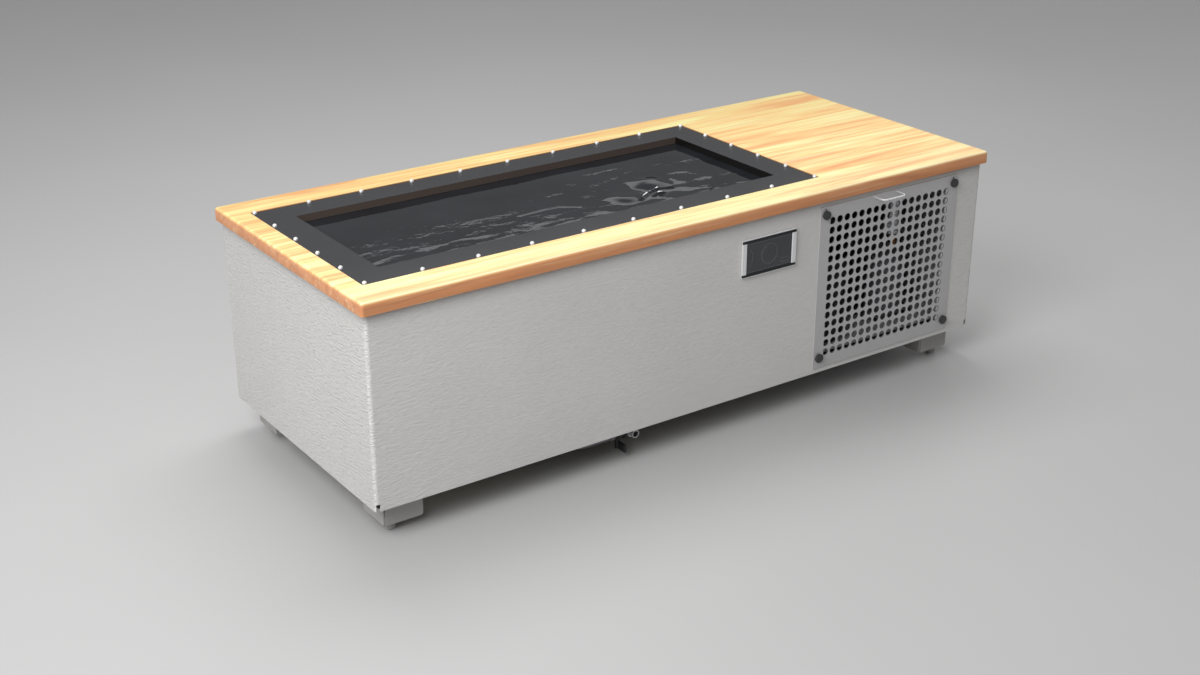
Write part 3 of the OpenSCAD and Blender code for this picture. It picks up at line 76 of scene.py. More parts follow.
class Graph:
    """A node tree, with helpers that add nodes to it."""

    def __init__(self, tree):
        self.tree = tree

    def node(self, kind, inputs, **props):
        """A new node. Each input, given by name or number, is linked to a socket or set to a value."""
        n = self.tree.nodes.new(kind)
        for key, value in props.items():
            setattr(n, key, value)
        for key, value in inputs.items():
            if isinstance(value, bpy.types.NodeSocket):
                self.tree.links.new(value, n.inputs[key])
            else:
                n.inputs[key].default_value = value
        return n

    def math(self, op, a, b=0.0):
        """What an operation such as ADD gives for one or two values."""
        return self.node("ShaderNodeMath", {0: a, 1: b}, operation=op).outputs["Value"]

    def times(self, product, *factors):
        """The product of two or more values."""
        for factor in factors:
            product = self.math("MULTIPLY", product, factor)
        return product

    def span(self, value, lo, hi, start=0.3, end=0.7):
        """A number that goes from lo to hi while a value goes from start to end, and stops there."""
        inputs = {"Value": value, "From Min": start, "From Max": end, "To Min": lo, "To Max": hi}
        return self.node("ShaderNodeMapRange", inputs).outputs["Result"]

    def part(self, vector, axis):
        """One axis of a vector."""
        return self.node("ShaderNodeSeparateXYZ", {"Vector": vector}).outputs[axis]

    def ramp(self, value, stops):
        """A colour that follows a value through stops, each a place from 0 to 1 and a colour."""
        n = self.node("ShaderNodeValToRGB", {"Fac": value})
        elements = n.color_ramp.elements
        while len(elements) < len(stops):
            elements.new(0.5)
        for element, (place, colour) in zip(elements, stops):
            element.position = place
            element.color = (*colour, 1)
        return n.outputs["Color"]


class Mat(Graph):
    """A principled material with a procedural texture in object coordinates."""

    def __init__(self, name, rough, metal=0.0, coat=0.0, coat_rough=0.05, ior=1.5, spec=0.5):
        self.mat = bpy.data.materials.new(name)
        self.mat.use_nodes = True
        super().__init__(self.mat.node_tree)
        self.bsdf = self.tree.nodes["Principled BSDF"]
        for socket, value in (("Roughness", rough), ("Metallic", metal), ("IOR", ior),
                              ("Specular IOR Level", spec), ("Coat Weight", coat),
                              ("Coat Roughness", coat_rough)):
            self.bsdf.inputs[socket].default_value = value
        place = self.tree.nodes.new("ShaderNodeTexCoord")
        self.coord, self.normal = place.outputs["Object"], place.outputs["Normal"]

    def space(self, scale=(1, 1, 1), move=(0, 0, 0)):
        """Object coordinates, stretched and moved."""
        inputs = {"Vector": self.coord, "Scale": scale, "Location": move}
        return self.node("ShaderNodeMapping", inputs).outputs["Vector"]

    def noise(self, where, scale, detail=3.0, rough=0.5, warp=0.0):
        """Cloudy noise from 0 to 1, mostly between 0.3 and 0.7."""
        inputs = {"Vector": where, "Scale": scale, "Detail": detail, "Roughness": rough,
                  "Distortion": warp}
        return self.node("ShaderNodeTexNoise", inputs).outputs["Fac"]

    def facing(self, axis):
        """How squarely a face looks along an axis, either way, from 0 to 1."""
        return self.math("ABSOLUTE", self.part(self.normal, axis))

    def tone(self, value, rgb, lo, hi):
        """A colour made lo to hi times as bright while a value goes from 0.3 to 0.7."""
        return self.ramp(value, [(0.3, shade(rgb, lo)), (0.7, shade(rgb, hi))])

    def blend(self, amount, a, b, mode="MIX"):
        """Colour a with some amount of colour b over it."""
        a, b = [(*colour, 1) if isinstance(colour, tuple) else colour for colour in (a, b)]
        inputs = {mix_amount: amount, mix_a: a, mix_b: b}
        n = self.node("ShaderNodeMix", inputs, data_type="RGBA", blend_type=mode)
        return n.outputs[mix_result]

    def bump(self, height, strength, dist, under=None):
        """A normal bumped by a height, over the normal under it if one is given."""
        inputs = {"Strength": strength, "Distance": dist, "Height": height}
        if under is not None:
            inputs["Normal"] = under
        return self.node("ShaderNodeBump", inputs).outputs["Normal"]

    def done(self, colour, rough=None, normal=None):
        """The material itself, once its colour, roughness and normal are wired."""
        for socket, value in (("Base Color", colour), ("Roughness", rough), ("Normal", normal)):
            if value is not None:
                self.tree.links.new(value, self.bsdf.inputs[socket])
        return self.mat


def plain(name, code, rough, grain, vary=0.08, metal=0.0, bump=0.08, dist=0.0004):
    """A paint, plastic, rubber or metal with uneven tone and sheen and a fine grain."""
    m = Mat(name, rough=rough, metal=metal)
    rgb = lin(code)
    wide = m.noise(m.space(), scale=4, detail=4, rough=0.6)
    fine = m.noise(m.space(), scale=grain, detail=4, rough=0.6)
    tone = m.tone(wide, rgb, 1 - vary, 1 + vary)
    tone = m.blend(m.span(fine, 0, 0.5), tone, shade(rgb, 1 - 1.5 * vary))
    return m.done(tone, m.span(fine, rough - 0.08, rough + 0.08), m.bump(fine, bump, dist))


def brushed(name, code, rough, stretch, metal=1.0):
    """A metal with fine brush lines, which run along the axis that stretch leaves at 1."""
    m = Mat(name, rough=rough, metal=metal)
    rgb = lin(code)
    lines = m.noise(m.space(scale=stretch), scale=26, detail=4, rough=0.7)
    wide = m.noise(m.space(), scale=9, detail=3)
    tone = m.tone(lines, rgb, 0.94, 1.06)
    tone = m.blend(m.span(wide, 0, 0.25), tone, shade(rgb, 0.85))
    return m.done(tone, m.span(lines, rough - 0.08, rough + 0.1), m.bump(lines, 0.12, 0.0003))


def coat_paint():
    """Thick spray coat: leathery wrinkles on the ends and corners, much flatter on the long sides."""
    toward_ends = (0.8, 1.14)
    shadows_under_deck = ((0.050, 0.32), (0.012, 0.42))
    m = Mat("casing_coat", rough=0.6, spec=0.4)
    rgb = lin("#d1d0ce")
    wrinkle = m.noise(m.space(scale=(1, 1, 3.2)), scale=58, detail=2, rough=0.45, warp=0.35)
    grain = m.noise(m.space(scale=(1, 1, 1.3)), scale=330, detail=2)
    fuzz = m.noise(m.space(scale=(1, 1, 1.8)), scale=130, detail=3, rough=0.6, warp=0.6)
    wide = m.noise(m.space(), scale=2.2, detail=3)
    end_face, long_face = m.facing("X"), m.facing("Y")
    corner = m.times(end_face, long_face, 2.0)

    from_middle = m.math("ABSOLUTE", m.part(m.coord, "X"))
    on_long = m.times(m.span(from_middle, 0.16, 0.30, *toward_ends), long_face)
    relief = m.math("MAXIMUM", on_long, m.times(end_face, 0.95))
    folds = m.math("ADD", m.times(m.math("SUBTRACT", wrinkle, 0.5), relief),
                   m.times(m.math("SUBTRACT", fuzz, 0.5), corner))

    tone = m.tone(wide, rgb, 0.965, 1.02)
    # Painted shade: the colour is darker in the hollows of the wrinkles
    tone = m.blend(m.span(folds, 0.42, 0, -0.2, 0.02), tone, shade(rgb, 0.72))
    # Painted highlight: a pale fuzzy line down the rounded vertical corners
    bright = m.times(m.span(corner, 0, 0.70, 0.30, 1.0), m.span(fuzz, 0.35, 1, 0.36, 0.64))
    tone = m.blend(bright, tone, lin("#f6f6f5"))
    # Painted shade: the end faces are coloured darker than the long sides
    tone = m.blend(m.span(end_face, 0, 0.14, 0.8, 1.0), tone, shade(rgb, 0.55))
    less_on_ends = m.span(long_face, 0.65, 1, 0, 1)
    for reach, depth in shadows_under_deck:
        under = m.span(m.part(m.coord, "Z"), 0, depth, casing_top - reach, casing_top)
        tone = m.blend(m.times(under, less_on_ends), tone, shade(rgb, 0.25))
    normal = m.bump(folds, 1.0, 0.0065, under=m.bump(grain, 0.25, 0.0004))
    return m.done(tone, m.span(corner, 0.6, 0.42, 0, 1), normal)


def panel_paint():
    """Cooler, smoother paint than the casing's; the cut edges inside the holes are coloured dark as
    painted shade.
    """
    margin = (0.006, 0.010)
    m = Mat("panel_paint", rough=0.45, spec=0.45)
    rgb = lin("#b7b6b7")
    wide = m.noise(m.space(), scale=3.5, detail=4, rough=0.6)
    fine = m.noise(m.space(), scale=480, detail=3, rough=0.6)
    tone = m.tone(wide, rgb, 0.96, 1.04)
    tone = m.blend(m.span(fine, 0, 0.12), tone, shade(rgb, 0.8))
    # Painted shade: faces that don't look to the front or back, the cut edges inside the holes, are
    # coloured dark, away from the panel's rim
    hole_edge_shade = m.span(m.facing("Y"), 1, 0)
    for axis, lo, hi in (("X", panel_lo.x, panel_hi.x), ("Z", panel_lo.z, panel_hi.z)):
        place = m.part(m.coord, axis)
        hole_edge_shade = m.times(hole_edge_shade,
                          m.span(place, 0, 1, lo + margin[0], lo + margin[1]),
                          m.span(place, 1, 0, hi - margin[1], hi - margin[0]))
    tone = m.blend(m.times(hole_edge_shade, 0.8), tone, lin("#3c3c3d"))
    return m.done(tone, m.span(fine, 0.38, 0.52), m.bump(fine, 0.14, 0.0003))


def deck_wood():
    """Pale straight-grained softwood under clear oil, grain along X; its sides are coloured darker and
    more orange than its top, and darker towards the bottom.
    """
    shade_to_rear = (mid_y - 0.1, wood_hi.y - 0.05)
    to_right = (0.1, 0.9)
    light_front_strip = (wood_lo.y + 0.08, wood_lo.y + 0.13)
    round_highlight_band = (wood_hi.z - 0.012, wood_hi.z - 0.003)
    lower_edge = (wood_lo.z, wood_lo.z + 0.024)
    m = Mat("deck_wood", rough=0.36, coat=0.35, coat_rough=0.16, spec=0.4)
    broad = m.noise(m.space(scale=(0.5, 7.5, 7.5)), scale=2.6, detail=5, rough=0.58, warp=0.9)
    bands = m.noise(m.space(scale=(0.8, 30, 30), move=(3.1, 0.7, 0.2)), scale=2.4, detail=6,
                    rough=0.62, warp=0.35)
    fibre = m.noise(m.space(scale=(5, 420, 420)), scale=1.5, detail=3, rough=0.7)
    x, y, z = [m.part(m.coord, axis) for axis in "XYZ"]
    up = m.part(m.normal, "Z")

    top = m.ramp(broad, [(0.32, lin("#fffab8")), (0.45, lin("#ffeba3")),
                         (0.55, lin("#ffd48c")), (0.67, lin("#f3b274"))])
    # Painted shade: the top is darker towards the rear, where less light falls
    top = m.blend(m.span(y, 0, 1, *shade_to_rear), top, (0.80, 0.82, 0.72), "MULTIPLY")
    top = m.blend(m.span(x, 0, 0.10, *to_right), top, lin("#d79a5c"))
    # Painted light: the front strip of the top is paler
    top = m.blend(m.span(y, 0.22, 0, *light_front_strip), top, lin("#ffffcc"))

    side = m.ramp(broad, [(0.30, lin("#e6a878")), (0.52, lin("#d89364")), (0.72, lin("#b7754a"))])
    # Painted highlight: the top of each side is paler, as if a larger rounded edge caught the light
    side = m.blend(m.span(z, 0, 0.55, *round_highlight_band), side, lin("#ffc88e"))
    # Darker towards the bottom of the sides
    side = m.blend(m.span(z, 0.55, 0, *lower_edge), side, lin("#b5764b"))

    base = m.blend(m.span(up, 1, 0, 0.15, 0.8), top, side)
    dark_streak = m.ramp(bands, [(0.49, black), (0.64, white)])
    base = m.blend(m.span(dark_streak, 0, 0.5, 0, 1), base, lin("#e8985c"))
    pale_streak = m.ramp(bands, [(0.34, white), (0.45, black)])
    base = m.blend(m.span(pale_streak, 0, 0.3, 0, 1), base, lin("#fff9c8"))
    base = m.blend(m.span(fibre, 0, 0.2, 0.45, 0.75), base, lin("#c98d55"))
    # Painted highlight: a pale line on the rounded top edges, strongest on the front
    rim_highlight = m.times(m.span(up, 0, 1, 0.55, 0.72), m.span(up, 1, 0, 0.86, 0.97),
                       m.span(m.part(m.normal, "Y"), 0.75, 0.1, -0.3, -0.1),
                       m.span(bands, 0.75, 1, 0.35, 0.65))
    base = m.blend(rim_highlight, base, lin("#fff6d2"))
    normal = m.bump(bands, 0.06, 0.0006, under=m.bump(fibre, 0.10, 0.0003))
    return m.done(base, m.span(fibre, 0.3, 0.44), normal)


def shell_gloss():
    """Moulded glossy charcoal flange over basin walls; the walls carry a painted warm reflection of the
    wood, the end walls painted shade, and the flange painted shade towards the right.
    """
    to_right = (-0.7, 0.5)
    m = Mat("basin_gloss", rough=0.24, coat=0.08, coat_rough=0.06, spec=0.18)
    rgb = lin("#222327")
    wide = m.noise(m.space(), scale=3, detail=3)
    fine = m.noise(m.space(), scale=420, detail=2)
    tone = m.tone(wide, rgb, 0.9, 1.1)
    tone = m.blend(m.span(fine, 0, 0.3), tone, shade(rgb, 1.35))
    # Painted shade: the flange darkens towards the right end
    tone = m.blend(m.span(m.part(m.coord, "X"), 0, 0.55, *to_right), tone, shade(rgb, 0.4))
    # Painted reflection and shade: the walls are coloured warm brown from the wood, and near black where
    # they face the ends
    wall = m.blend(m.span(m.facing("X"), 0, 1), lin("#574c46"), lin("#171615"))
    tone = m.blend(m.span(m.facing("Z"), 1, 0), tone, wall)
    return m.done(tone, m.span(wide, 0.2, 0.3), m.bump(fine, 0.03, 0.0002))


def water_skin():
    """Still dark water; the highest crests of the splash carry a painted white glint."""
    glint_from = (water_z + 0.0066, water_z + 0.0084)
    m = Mat("water", rough=0.02, ior=1.33)
    m.bsdf.inputs["Specular Tint"].default_value = (0.88, 0.95, 1.0, 1)
    wide = m.noise(m.space(), scale=5, detail=4)
    fine = m.noise(m.space(scale=(1, 1.6, 1)), scale=30, detail=2, warp=0.4)
    # Painted glints: the highest crests are coloured white
    crest_glint = m.span(m.part(m.coord, "Z"), 0, 1, *glint_from)
    tone = m.blend(crest_glint, m.tone(wide, lin("#1c1e22"), 0.8, 1.3), lin("#f4f6f8"))
    return m.done(tone, m.span(crest_glint, 0.02, 0.35, 0, 1), m.bump(fine, 0.38, 0.0004))


def pull_steel():
    """Bright bent steel, with painted shade on the flank that faces left."""
    m = Mat("handle_steel", rough=0.3, metal=0.25)
    rgb = lin("#ecedee")
    fine = m.noise(m.space(), scale=200, detail=4, rough=0.6)
    # Painted shade: the flank that faces left is coloured darker
    left_flank_shade = m.span(m.part(m.normal, "X"), 0.65, 0, -0.9, -0.3)
    tone = m.blend(left_flank_shade, m.tone(fine, rgb, 0.96, 1.02), shade(rgb, 0.35))
    return m.done(tone, m.span(fine, 0.22, 0.38), m.bump(fine, 0.03, 0.0003))


def screen_face():
    """Dark glass over the controller's screen."""
    m = Mat("screen_face", rough=0.18, coat=0.5, coat_rough=0.04)
    wide = m.noise(m.space(), scale=12, detail=2)
    fine = m.noise(m.space(), scale=500, detail=2)
    tone = m.tone(wide, lin("#2b2d31"), 0.92, 1.12)
    return m.done(tone, m.span(fine, 0.14, 0.22), m.bump(fine, 0.02, 0.0002))


mats = {
    "casing": coat_paint(),
    "wood": deck_wood(),
    "shell": shell_gloss(),
    "water": water_skin(),
    "screen": screen_face(),
    "panel": panel_paint(),
    "handle": pull_steel(),
    "rail": brushed("rail_aluminium", "#ecedee", 0.34, stretch=(40, 40, 1), metal=0.45),
    "satin": brushed("satin_steel", "#c9ccd0", 0.34, stretch=(30, 30, 1)),
    "foam": plain("foam", "#cfc48e", 0.9, grain=260, vary=0.1, bump=0.5, dist=0.001),
    "frame": plain("frame_paint", "#55585b", 0.5, grain=160, bump=0.12),
    "zinc": plain("zinc_sheet", "#a9acad", 0.42, grain=60, vary=0.07, metal=0.7, bump=0.05),
    "tray": plain("tray_sheet", "#c6c8c9", 0.5, grain=60, vary=0.07, metal=0.15, bump=0.05),
    "bracket": plain("bracket_paint", "#a3a19f", 0.5, grain=240, vary=0.05, bump=0.15, dist=0.0003),
    "foot": plain("foot_zinc", "#a3a2a0", 0.38, grain=120, metal=0.3),
    "knob": plain("knob_plastic", "#38393a", 0.48, grain=700, bump=0.15, dist=0.0002),
    "dome": plain("dome_steel", "#f6f6f7", 0.24, grain=300, vary=0.03, metal=0.35, bump=0.03),
    "steel": plain("bright_steel", "#c2c4c6", 0.22, grain=200, vary=0.05, metal=1.0, bump=0.03),
    "bar": plain("bar_plastic", "#232528", 0.35, grain=500, vary=0.1),
    "gasket": plain("gasket_rubber", "#161616", 0.8, grain=400, vary=0.15, bump=0.2),
    "machine": plain("machine_paint", "#6d7074", 0.45, grain=300, vary=0.06, bump=0.15),
    "plastic": plain("black_plastic", "#232528", 0.5, grain=600, vary=0.1, bump=0.18, dist=0.0002),
    "hose": plain("hose_rubber", "#1d1e20", 0.6, grain=350, vary=0.12, bump=0.25, dist=0.0003),
    "copper": plain("copper_pipe", "#b0713f", 0.3, grain=70, vary=0.12, metal=1.0, bump=0.05),
    "motor": plain("motor_paint", "#3c4a57", 0.45, grain=260, vary=0.06, bump=0.15),
    "pleat": plain("filter_fleece", "#e2e2de", 0.9, grain=900, vary=0.05, bump=0.3),
    "fins": plain("fin_aluminium", "#a7a9ab", 0.35, grain=150, vary=0.06, metal=0.9, bump=0.05),
    "drain": plain("drain_plastic", "#77787a", 0.45, grain=400, vary=0.06, bump=0.12),
    "outlet": plain("outlet_metal", "#b8b9ba", 0.3, grain=220, metal=0.9),
    "trace": plain("screen_trace", "#6f7378", 0.4, grain=500, vary=0.04),
}
mat_of_node = {
    "casing": "casing", "wood_top": "wood", "tub_basin": "shell", "flange_screws": "dome",
    "insulation_jacket": "foam", "base_insulation": "foam", "base_frame": "frame",
    "frame_posts": "frame", "bulkhead": "zinc", "bay_floor": "tray", "jam_nuts": "steel",
    "bracket_bolts": "steel", "access_panel": "panel", "panel_handle": "handle",
    "weld_nuts": "steel", "controller_frame": "rail", "controller_bars": "bar",
    "controller_screen": "screen", "controller_gasket": "gasket", "controller_box": "plastic",
    "compressor": "machine", "compressor_mounts": "gasket", "condenser_coil": "fins",
    "fan_shroud": "plastic", "fan_motor": "machine", "fan": "plastic", "fan_guard": "plastic",
    "heat_exchanger": "plastic", "refrigerant_lines": "copper", "circulation_pump": "plastic",
    "pump_motor": "motor", "filter_housing": "plastic", "filter_cap": "plastic",
    "filter_cartridge": "pleat", "steriliser": "satin", "hoses": "hose",
    "control_box": "machine", "cable_gland": "plastic", "suction_grate": "plastic",
    "return_jet": "plastic", "drain_grate": "satin", "drain_pipe": "drain",
    "drain_valve": "plastic", "drain_outlet": "outlet", "valve_lever": "plastic",
}
mat_of_group = {"leg_bracket": "bracket", "foot_": "foot", "knob_": "knob"}


def dress(name, node):
    """Give a node's slots the material of its name, or of the group that its name begins with."""
    groups = [key for start, key in mat_of_group.items() if name.startswith(start)]
    mat = mats[groups[0] if groups else mat_of_node[name]]
    if not node.data.materials:
        node.data.materials.append(mat)
    for slot in node.material_slots:
        slot.material = mat


for name, node in nodes.items():
    dress(name, node)


# Pieces

def mesh_object(name, bm):
    """A new object in the scene, made from a bmesh that isn't needed after it."""
    me = bpy.data.meshes.new(name)
    bm.to_mesh(me)
    bm.free()
    o = bpy.data.objects.new(name, me)
    bpy.context.scene.collection.objects.link(o)
    return o


def piece(name, bm, mat, body="root", smooth=True):
    """A visible piece that the CAD doesn't have, which rides on a body and shares a colour slot."""
    bm.normal_update()
    o = mesh_object(name, bm)
    for p in o.data.polygons:
        p.use_smooth = smooth
    o.data.materials.append(mats[mat])
    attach(o, body)
    return o


# The water, from wall to wall inside the basin's flange
flange_w = 0.1015
wall_gap = 0.0003
water_depth = 0.03
water_x = (basin_lo.x + flange_w + wall_gap, basin_hi.x - flange_w - wall_gap)
water_y = (basin_lo.y + flange_w + wall_gap, basin_hi.y - flange_w - wall_gap)
splash = (0.045, mid_y - 0.105)
splash_reach = 0.6
# Crests of the splash: height, half width and a path of (x, y) points
crests = (
    (0.0122, 0.0062, ((-0.034, -0.138), (-0.004, -0.117), (0.028, -0.098), (0.071, -0.083),
                      (0.118, -0.098))),
    (0.0115, 0.0052, ((0.020, -0.132), (0.046, -0.123), (0.066, -0.128))),
    (0.0105, 0.0042, ((0.208, -0.182), (0.215, -0.178))),
    (0.0010, 0.0060, ((-0.421, -0.046), (-0.333, -0.040), (-0.279, -0.044), (-0.228, -0.080))),
)
# Round swells beside them: x, y, both radii and the height, which is below zero for a hollow
domes = ((-0.062, -0.090, 0.040, 0.046, 0.0048), (0.098, -0.018, 0.042, 0.050, 0.0056),
         (0.030, -0.060, 0.030, 0.034, -0.0045))


def along(x, y, path):
    """Distance from a point to a path, and how far along the path its nearest point lies."""
    best, share = 1.0, 0.0
    for i in range(len(path) - 1):
        ax, ay = path[i]
        ux, uy = path[i + 1][0] - ax, path[i + 1][1] - ay
        t = max(0.0, min(1.0, ((x - ax) * ux + (y - ay) * uy) / (ux * ux + uy * uy)))
        d = math.hypot(x - ax - ux * t, y - ay - uy * t)
        if d < best:
            best, share = d, (i + t) / (len(path) - 1)
    return best, share


def swell(x, y, across, deep, seed, shift=0.0):
    """Smooth noise from -1 to 1, with about so many swells a metre along X and along Y."""
    return noise.noise(Vector((x * across + shift, y * deep, seed)))


def splash_height(x, y):
    """Height that the splash adds: a ragged middle, rings round it, and its swells and crests."""
    middle, middle_r, squash = 0.0022, 0.09, 0.75
    rings, rings_r, ring_rate = 0.00050, 0.11, 75
    dx, dy = x - splash[0], y - splash[1]
    r = math.hypot(dx * squash, dy)
    bend = swell(x, y, 11, 14, 1.9)
    heights = [middle * math.exp(-(r / middle_r) ** 2) * bend,
               rings * math.exp(-r / rings_r) * math.sin(r * ring_rate + 3.0 * bend)]
    if r < splash_reach:
        for cx, cy, rx, ry, top in domes:
            heights.append(top * math.exp(-(((x - cx) / rx) ** 2 + ((y - cy) / ry) ** 2) ** 1.5))
        for top, half_width, path in crests:
            d, share = along(x, y, path)
            ragged = 0.72 + 0.55 * swell(x, y, 60, 60, 3.3)
            arched = 0.55 + 0.45 * math.sin(math.pi * share)
            heights.append(top * ragged * math.exp(-(d / half_width) ** 2) * arched)
    return sum(heights)


def wave(x, y):
    """Height of the water over its level: slow swells, ripples by the near wall, and the splash."""
    back = max(0.0, min(1.0, (y - water_y[0]) / (water_y[1] - water_y[0])))
    slow = (0.0004 + 0.0006 * back) * swell(x, y, 3.3, 7.0, 0.3)
    short = (0.00016 + 0.00010 * back) * swell(x, y, 9.0, 19.0, 2.3, shift=2.0)
    near_wall = 0.00066 * math.exp(-back / 0.17) * swell(x, y, 13.0, 30.0, 5.1)
    return slow + short + near_wall + splash_height(x, y)


def steps(lo, hi, mid, reach, coarse, dense):
    """Positions from lo to hi, closer together within reach of mid."""
    tiny = 1e-6
    out = [lo]
    while out[-1] < hi - tiny:
        gap = dense if abs(out[-1] - mid) < reach else coarse
        out.append(min(hi, out[-1] + gap))
    return out


def water():
    """The water's waved top on a closed shallow block, so that it is a solid."""
    bm = bmesh.new()
    xs = steps(*water_x, mid=splash[0], reach=0.13, coarse=0.0055, dense=0.0022)
    ys = steps(*water_y, mid=splash[1], reach=0.11, coarse=0.0045, dense=0.0022)
    nx, ny = len(xs) - 1, len(ys) - 1
    top = [[bm.verts.new((x, y, water_z + wave(x, y))) for x in xs] for y in ys]
    for j in range(ny):
        for i in range(nx):
            bm.faces.new((top[j][i], top[j][i + 1], top[j + 1][i + 1], top[j + 1][i]))
    rim = [top[0][i] for i in range(nx)] + [top[j][nx] for j in range(ny)]
    rim += [top[ny][i] for i in range(nx, 0, -1)] + [top[j][0] for j in range(ny, 0, -1)]
    foot = [bm.verts.new((v.co.x, v.co.y, water_z - water_depth)) for v in rim]
    for k in range(len(rim)):
        after = (k + 1) % len(rim)
        bm.faces.new((rim[after], rim[k], foot[k], foot[after]))
    bm.faces.new(foot[::-1])
    piece("water_surface", bm, "water")


def strip(bm, path, width):
    """A thin flat line that lies on the screen along a path of (x, z) points."""
    thick = 0.0002
    last = len(path) - 1
    left, right = [], []
    for i, (x, z) in enumerate(path):
        a = path[max(i - 1, 0)]
        b = path[min(i + 1, last)]
        t = Vector((b[0] - a[0], b[1] - a[1])).normalized()
        s = Vector((-t.y, t.x)) * width / 2
        left.append((x + s.x, z + s.y))
        right.append((x - s.x, z - s.y))
    lb, rb, lt, rt = [[bm.verts.new((x, screen_lo.y - out, z)) for x, z in side]
                      for out in (0, thick) for side in (left, right)]
    for i in range(last):
        bm.faces.new((lt[i], lt[i + 1], rt[i + 1], rt[i]))
        bm.faces.new((lb[i + 1], lb[i], rb[i], rb[i + 1]))
        bm.faces.new((lb[i], lb[i + 1], lt[i + 1], lt[i]))
        bm.faces.new((rb[i + 1], rb[i], rt[i], rt[i + 1]))
    bm.faces.new((lb[0], lt[0], rt[0], rb[0]))
    bm.faces.new((lt[last], lb[last], rb[last], rt[last]))


def arc(cx, cz, r, from_deg, to_deg, count=48):
    """Points along a round arc."""
    angles = [math.radians(from_deg + (to_deg - from_deg) * i / count) for i in range(count + 1)]
    return [(cx + r * math.cos(a), cz + r * math.sin(a)) for a in angles]


def screen_marks():
    """Thin plain rings, a frame and two rules on the controller's screen, with no text or figures."""
    bold, medium, thin = 0.0009, 0.0007, 0.0006
    ring_r, dial_r = 0.0335, 0.0290
    side_r, side_out = 0.036, 0.012
    frame_w, frame_h, frame_from_right, frame_up = 0.032, 0.013, 0.042, 0.012
    rule_in_x, rule_in_z = 0.004, 0.0035
    mid_x, mid_z = (screen_lo.x + screen_hi.x) / 2, (screen_lo.z + screen_hi.z) / 2
    x0, z0 = screen_hi.x - frame_from_right, screen_lo.z + frame_up
    x1, z1 = x0 + frame_w, z0 + frame_h
    bm = bmesh.new()
    strip(bm, arc(mid_x, mid_z, ring_r, 0, 359), bold)
    strip(bm, arc(mid_x, mid_z, dial_r, 110, 380), thin)
    strip(bm, arc(screen_lo.x - side_out, mid_z, side_r, -48, 48, count=24), bold)
    strip(bm, [(x0, z0), (x1, z0), (x1, z1), (x0, z1), (x0, z0)], medium)
    for z in (screen_lo.z + rule_in_z, screen_hi.z - rule_in_z):
        strip(bm, [(screen_lo.x + rule_in_x, z), (screen_hi.x - rule_in_x, z)], thin)
    bmesh.ops.recalc_face_normals(bm, faces=bm.faces)
    piece("screen_marks", bm, "trace", smooth=False)


def outlet_thread():
    """A helical ridge wound towards the front on the drain outlet's round spigot."""
    spigot_from_right, start_in = 0.017, 0.0165
    length, r, pitch, depth, sunk = 0.0135, 0.0132, 0.0022, 0.0007, 0.0004
    foot_share, crest_share = 0.3, 0.1
    points_a_turn, fade_rate = 36, 6
    centre = Vector((outlet_hi.x - spigot_from_right, 0, (outlet_lo.z + outlet_hi.z) / 2))
    start_y = outlet_lo.y + start_in
    turns = length / pitch
    count = int(turns * points_a_turn)
    bm = bmesh.new()
    before = None
    for i in range(count + 1):
        t = i / count
        a = 2 * math.pi * turns * t
        y = start_y - length * t
        crest = depth * min(1.0, fade_rate * t, fade_rate * (1 - t))
        ring = []
        for dy, dr in ((-pitch * foot_share, -sunk), (-pitch * crest_share, crest),
                       (pitch * crest_share, crest), (pitch * foot_share, -sunk)):
            out = r + dr
            ring.append(bm.verts.new((centre.x + out * math.cos(a), y + dy,
                                      centre.z + out * math.sin(a))))
        if before:
            for k in range(4):
                after = (k + 1) % 4
                bm.faces.new((before[k], before[after], ring[after], ring[k]))
        else:
            bm.faces.new(ring)
        before = ring
    bm.faces.new(before[::-1])
    bmesh.ops.recalc_face_normals(bm, faces=bm.faces)
    piece("outlet_thread", bm, "outlet")


water()
screen_marks()
outlet_thread()


# Stage: floor, light and camera

def floor():
    """A wide pale floor under the tub."""
    bm = bmesh.new()
    bmesh.ops.create_grid(bm, x_segments=2, y_segments=2, size=30)
    o = mesh_object("studio_floor", bm)
    m = Mat("floor_pale", rough=0.42, spec=0.35)
    wide = m.noise(m.space(), scale=0.6, detail=2)
    o.data.materials.append(m.done(m.tone(wide, lin("#b4b4b4"), 0.98, 1.02)))


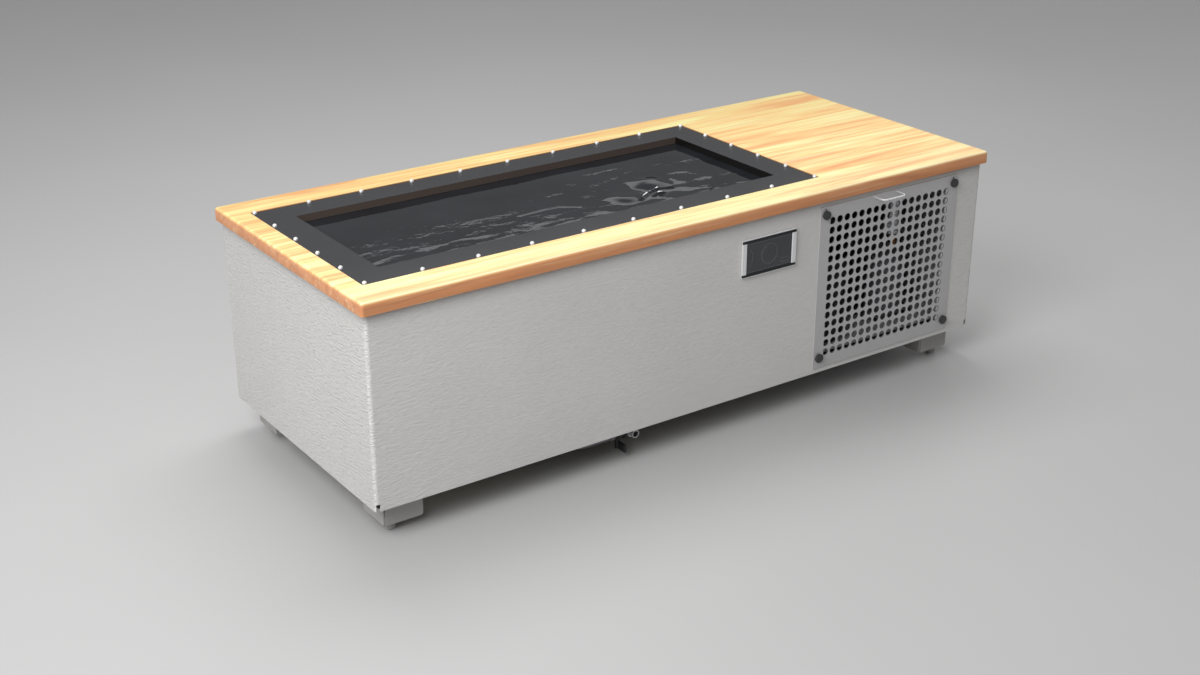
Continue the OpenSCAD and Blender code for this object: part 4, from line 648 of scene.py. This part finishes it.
def room():
    """A dim room, and behind the tub a bright wall panel that lights it and shows in reflections.

    The panel's lower edge shows in the water by the near wall. The camera sees an even grey instead.
    """
    low, high, overhead, seen_grey = 0.14, 0.52, 1.0, 0.25
    panel_bottom = (0.4290, 0.4335)
    panel_top = (0.44, 0.54)
    panel_right = (0.45, 1.1)
    rearward = (0.02, 0.1)
    world = bpy.data.worlds.new("studio")
    bpy.context.scene.world = world
    world.use_nodes = True
    sky = Graph(world.node_tree)
    toward = sky.node("ShaderNodeTexCoord", {}).outputs["Generated"]
    x, y, z = [sky.part(toward, axis) for axis in "XYZ"]
    # The last stop is a small bright spot straight overhead
    walls = sky.ramp(z, [(0.0, (low,) * 3), (1.0, (high,) * 3), (1.0, (overhead,) * 3)])
    deep = sky.math("MAXIMUM", y, rearward[0])
    panel = sky.times(sky.span(sky.math("DIVIDE", z, deep), 0, 1, *panel_bottom),
                      sky.span(y, 0, 1, *rearward),
                      sky.span(z, 1, 0, *panel_top),
                      sky.span(sky.math("DIVIDE", x, deep), 1.05, 0.45, *panel_right))
    seen = sky.node("ShaderNodeLightPath", {}).outputs["Is Camera Ray"]
    unseen = sky.math("SUBTRACT", 1.0, seen)
    light = sky.math("ADD", sky.times(sky.math("ADD", walls, panel), unseen), sky.times(seen, seen_grey))
    background = sky.tree.nodes["Background"]
    background.inputs["Color"].default_value = (*white, 1)
    sky.tree.links.new(light, background.inputs["Strength"])


def lamp(name, at, to, size, power):
    """A rectangular lamp that stands at one point and shines to another."""
    d = bpy.data.lights.new(name, "AREA")
    d.shape = "RECTANGLE"
    d.size, d.size_y = size
    d.energy = power
    o = bpy.data.objects.new(name, d)
    bpy.context.scene.collection.objects.link(o)
    o.location = at
    o.rotation_mode = "QUATERNION"
    o.rotation_quaternion = (Vector(to) - Vector(at)).to_track_quat("-Z", "Y")
    return o


def camera():
    """The photograph's camera, as it was fitted to the tub's straight edges."""
    x, in_front, z = -2.979, 4.1305, 2.3873
    down_deg, roll_deg, right_deg = 23.37, 0.03, 35.09
    d = bpy.data.cameras.new("camera")
    d.sensor_width = 36
    d.lens = 50.376
    d.clip_start, d.clip_end = 0.1, 200
    o = bpy.data.objects.new("camera", d)
    bpy.context.scene.collection.objects.link(o)
    o.location = (x, mid_y - in_front, z)
    o.rotation_euler = [math.radians(deg) for deg in (90 - down_deg, roll_deg, -right_deg)]
    bpy.context.scene.camera = o


floor()
room()
lamp("key", at=(-4.1, -2.1, 3.9), to=(0, 0, 0.5), size=(3.0, 3.0), power=250)
top_lamp = lamp("top", at=(0.6, 1.6, 4.8), to=(0.2, 0.1, 0.6), size=(3.6, 2.4), power=125)
top_lamp.visible_glossy = False
camera()
bpy.context.scene.view_settings.view_transform = "Standard"
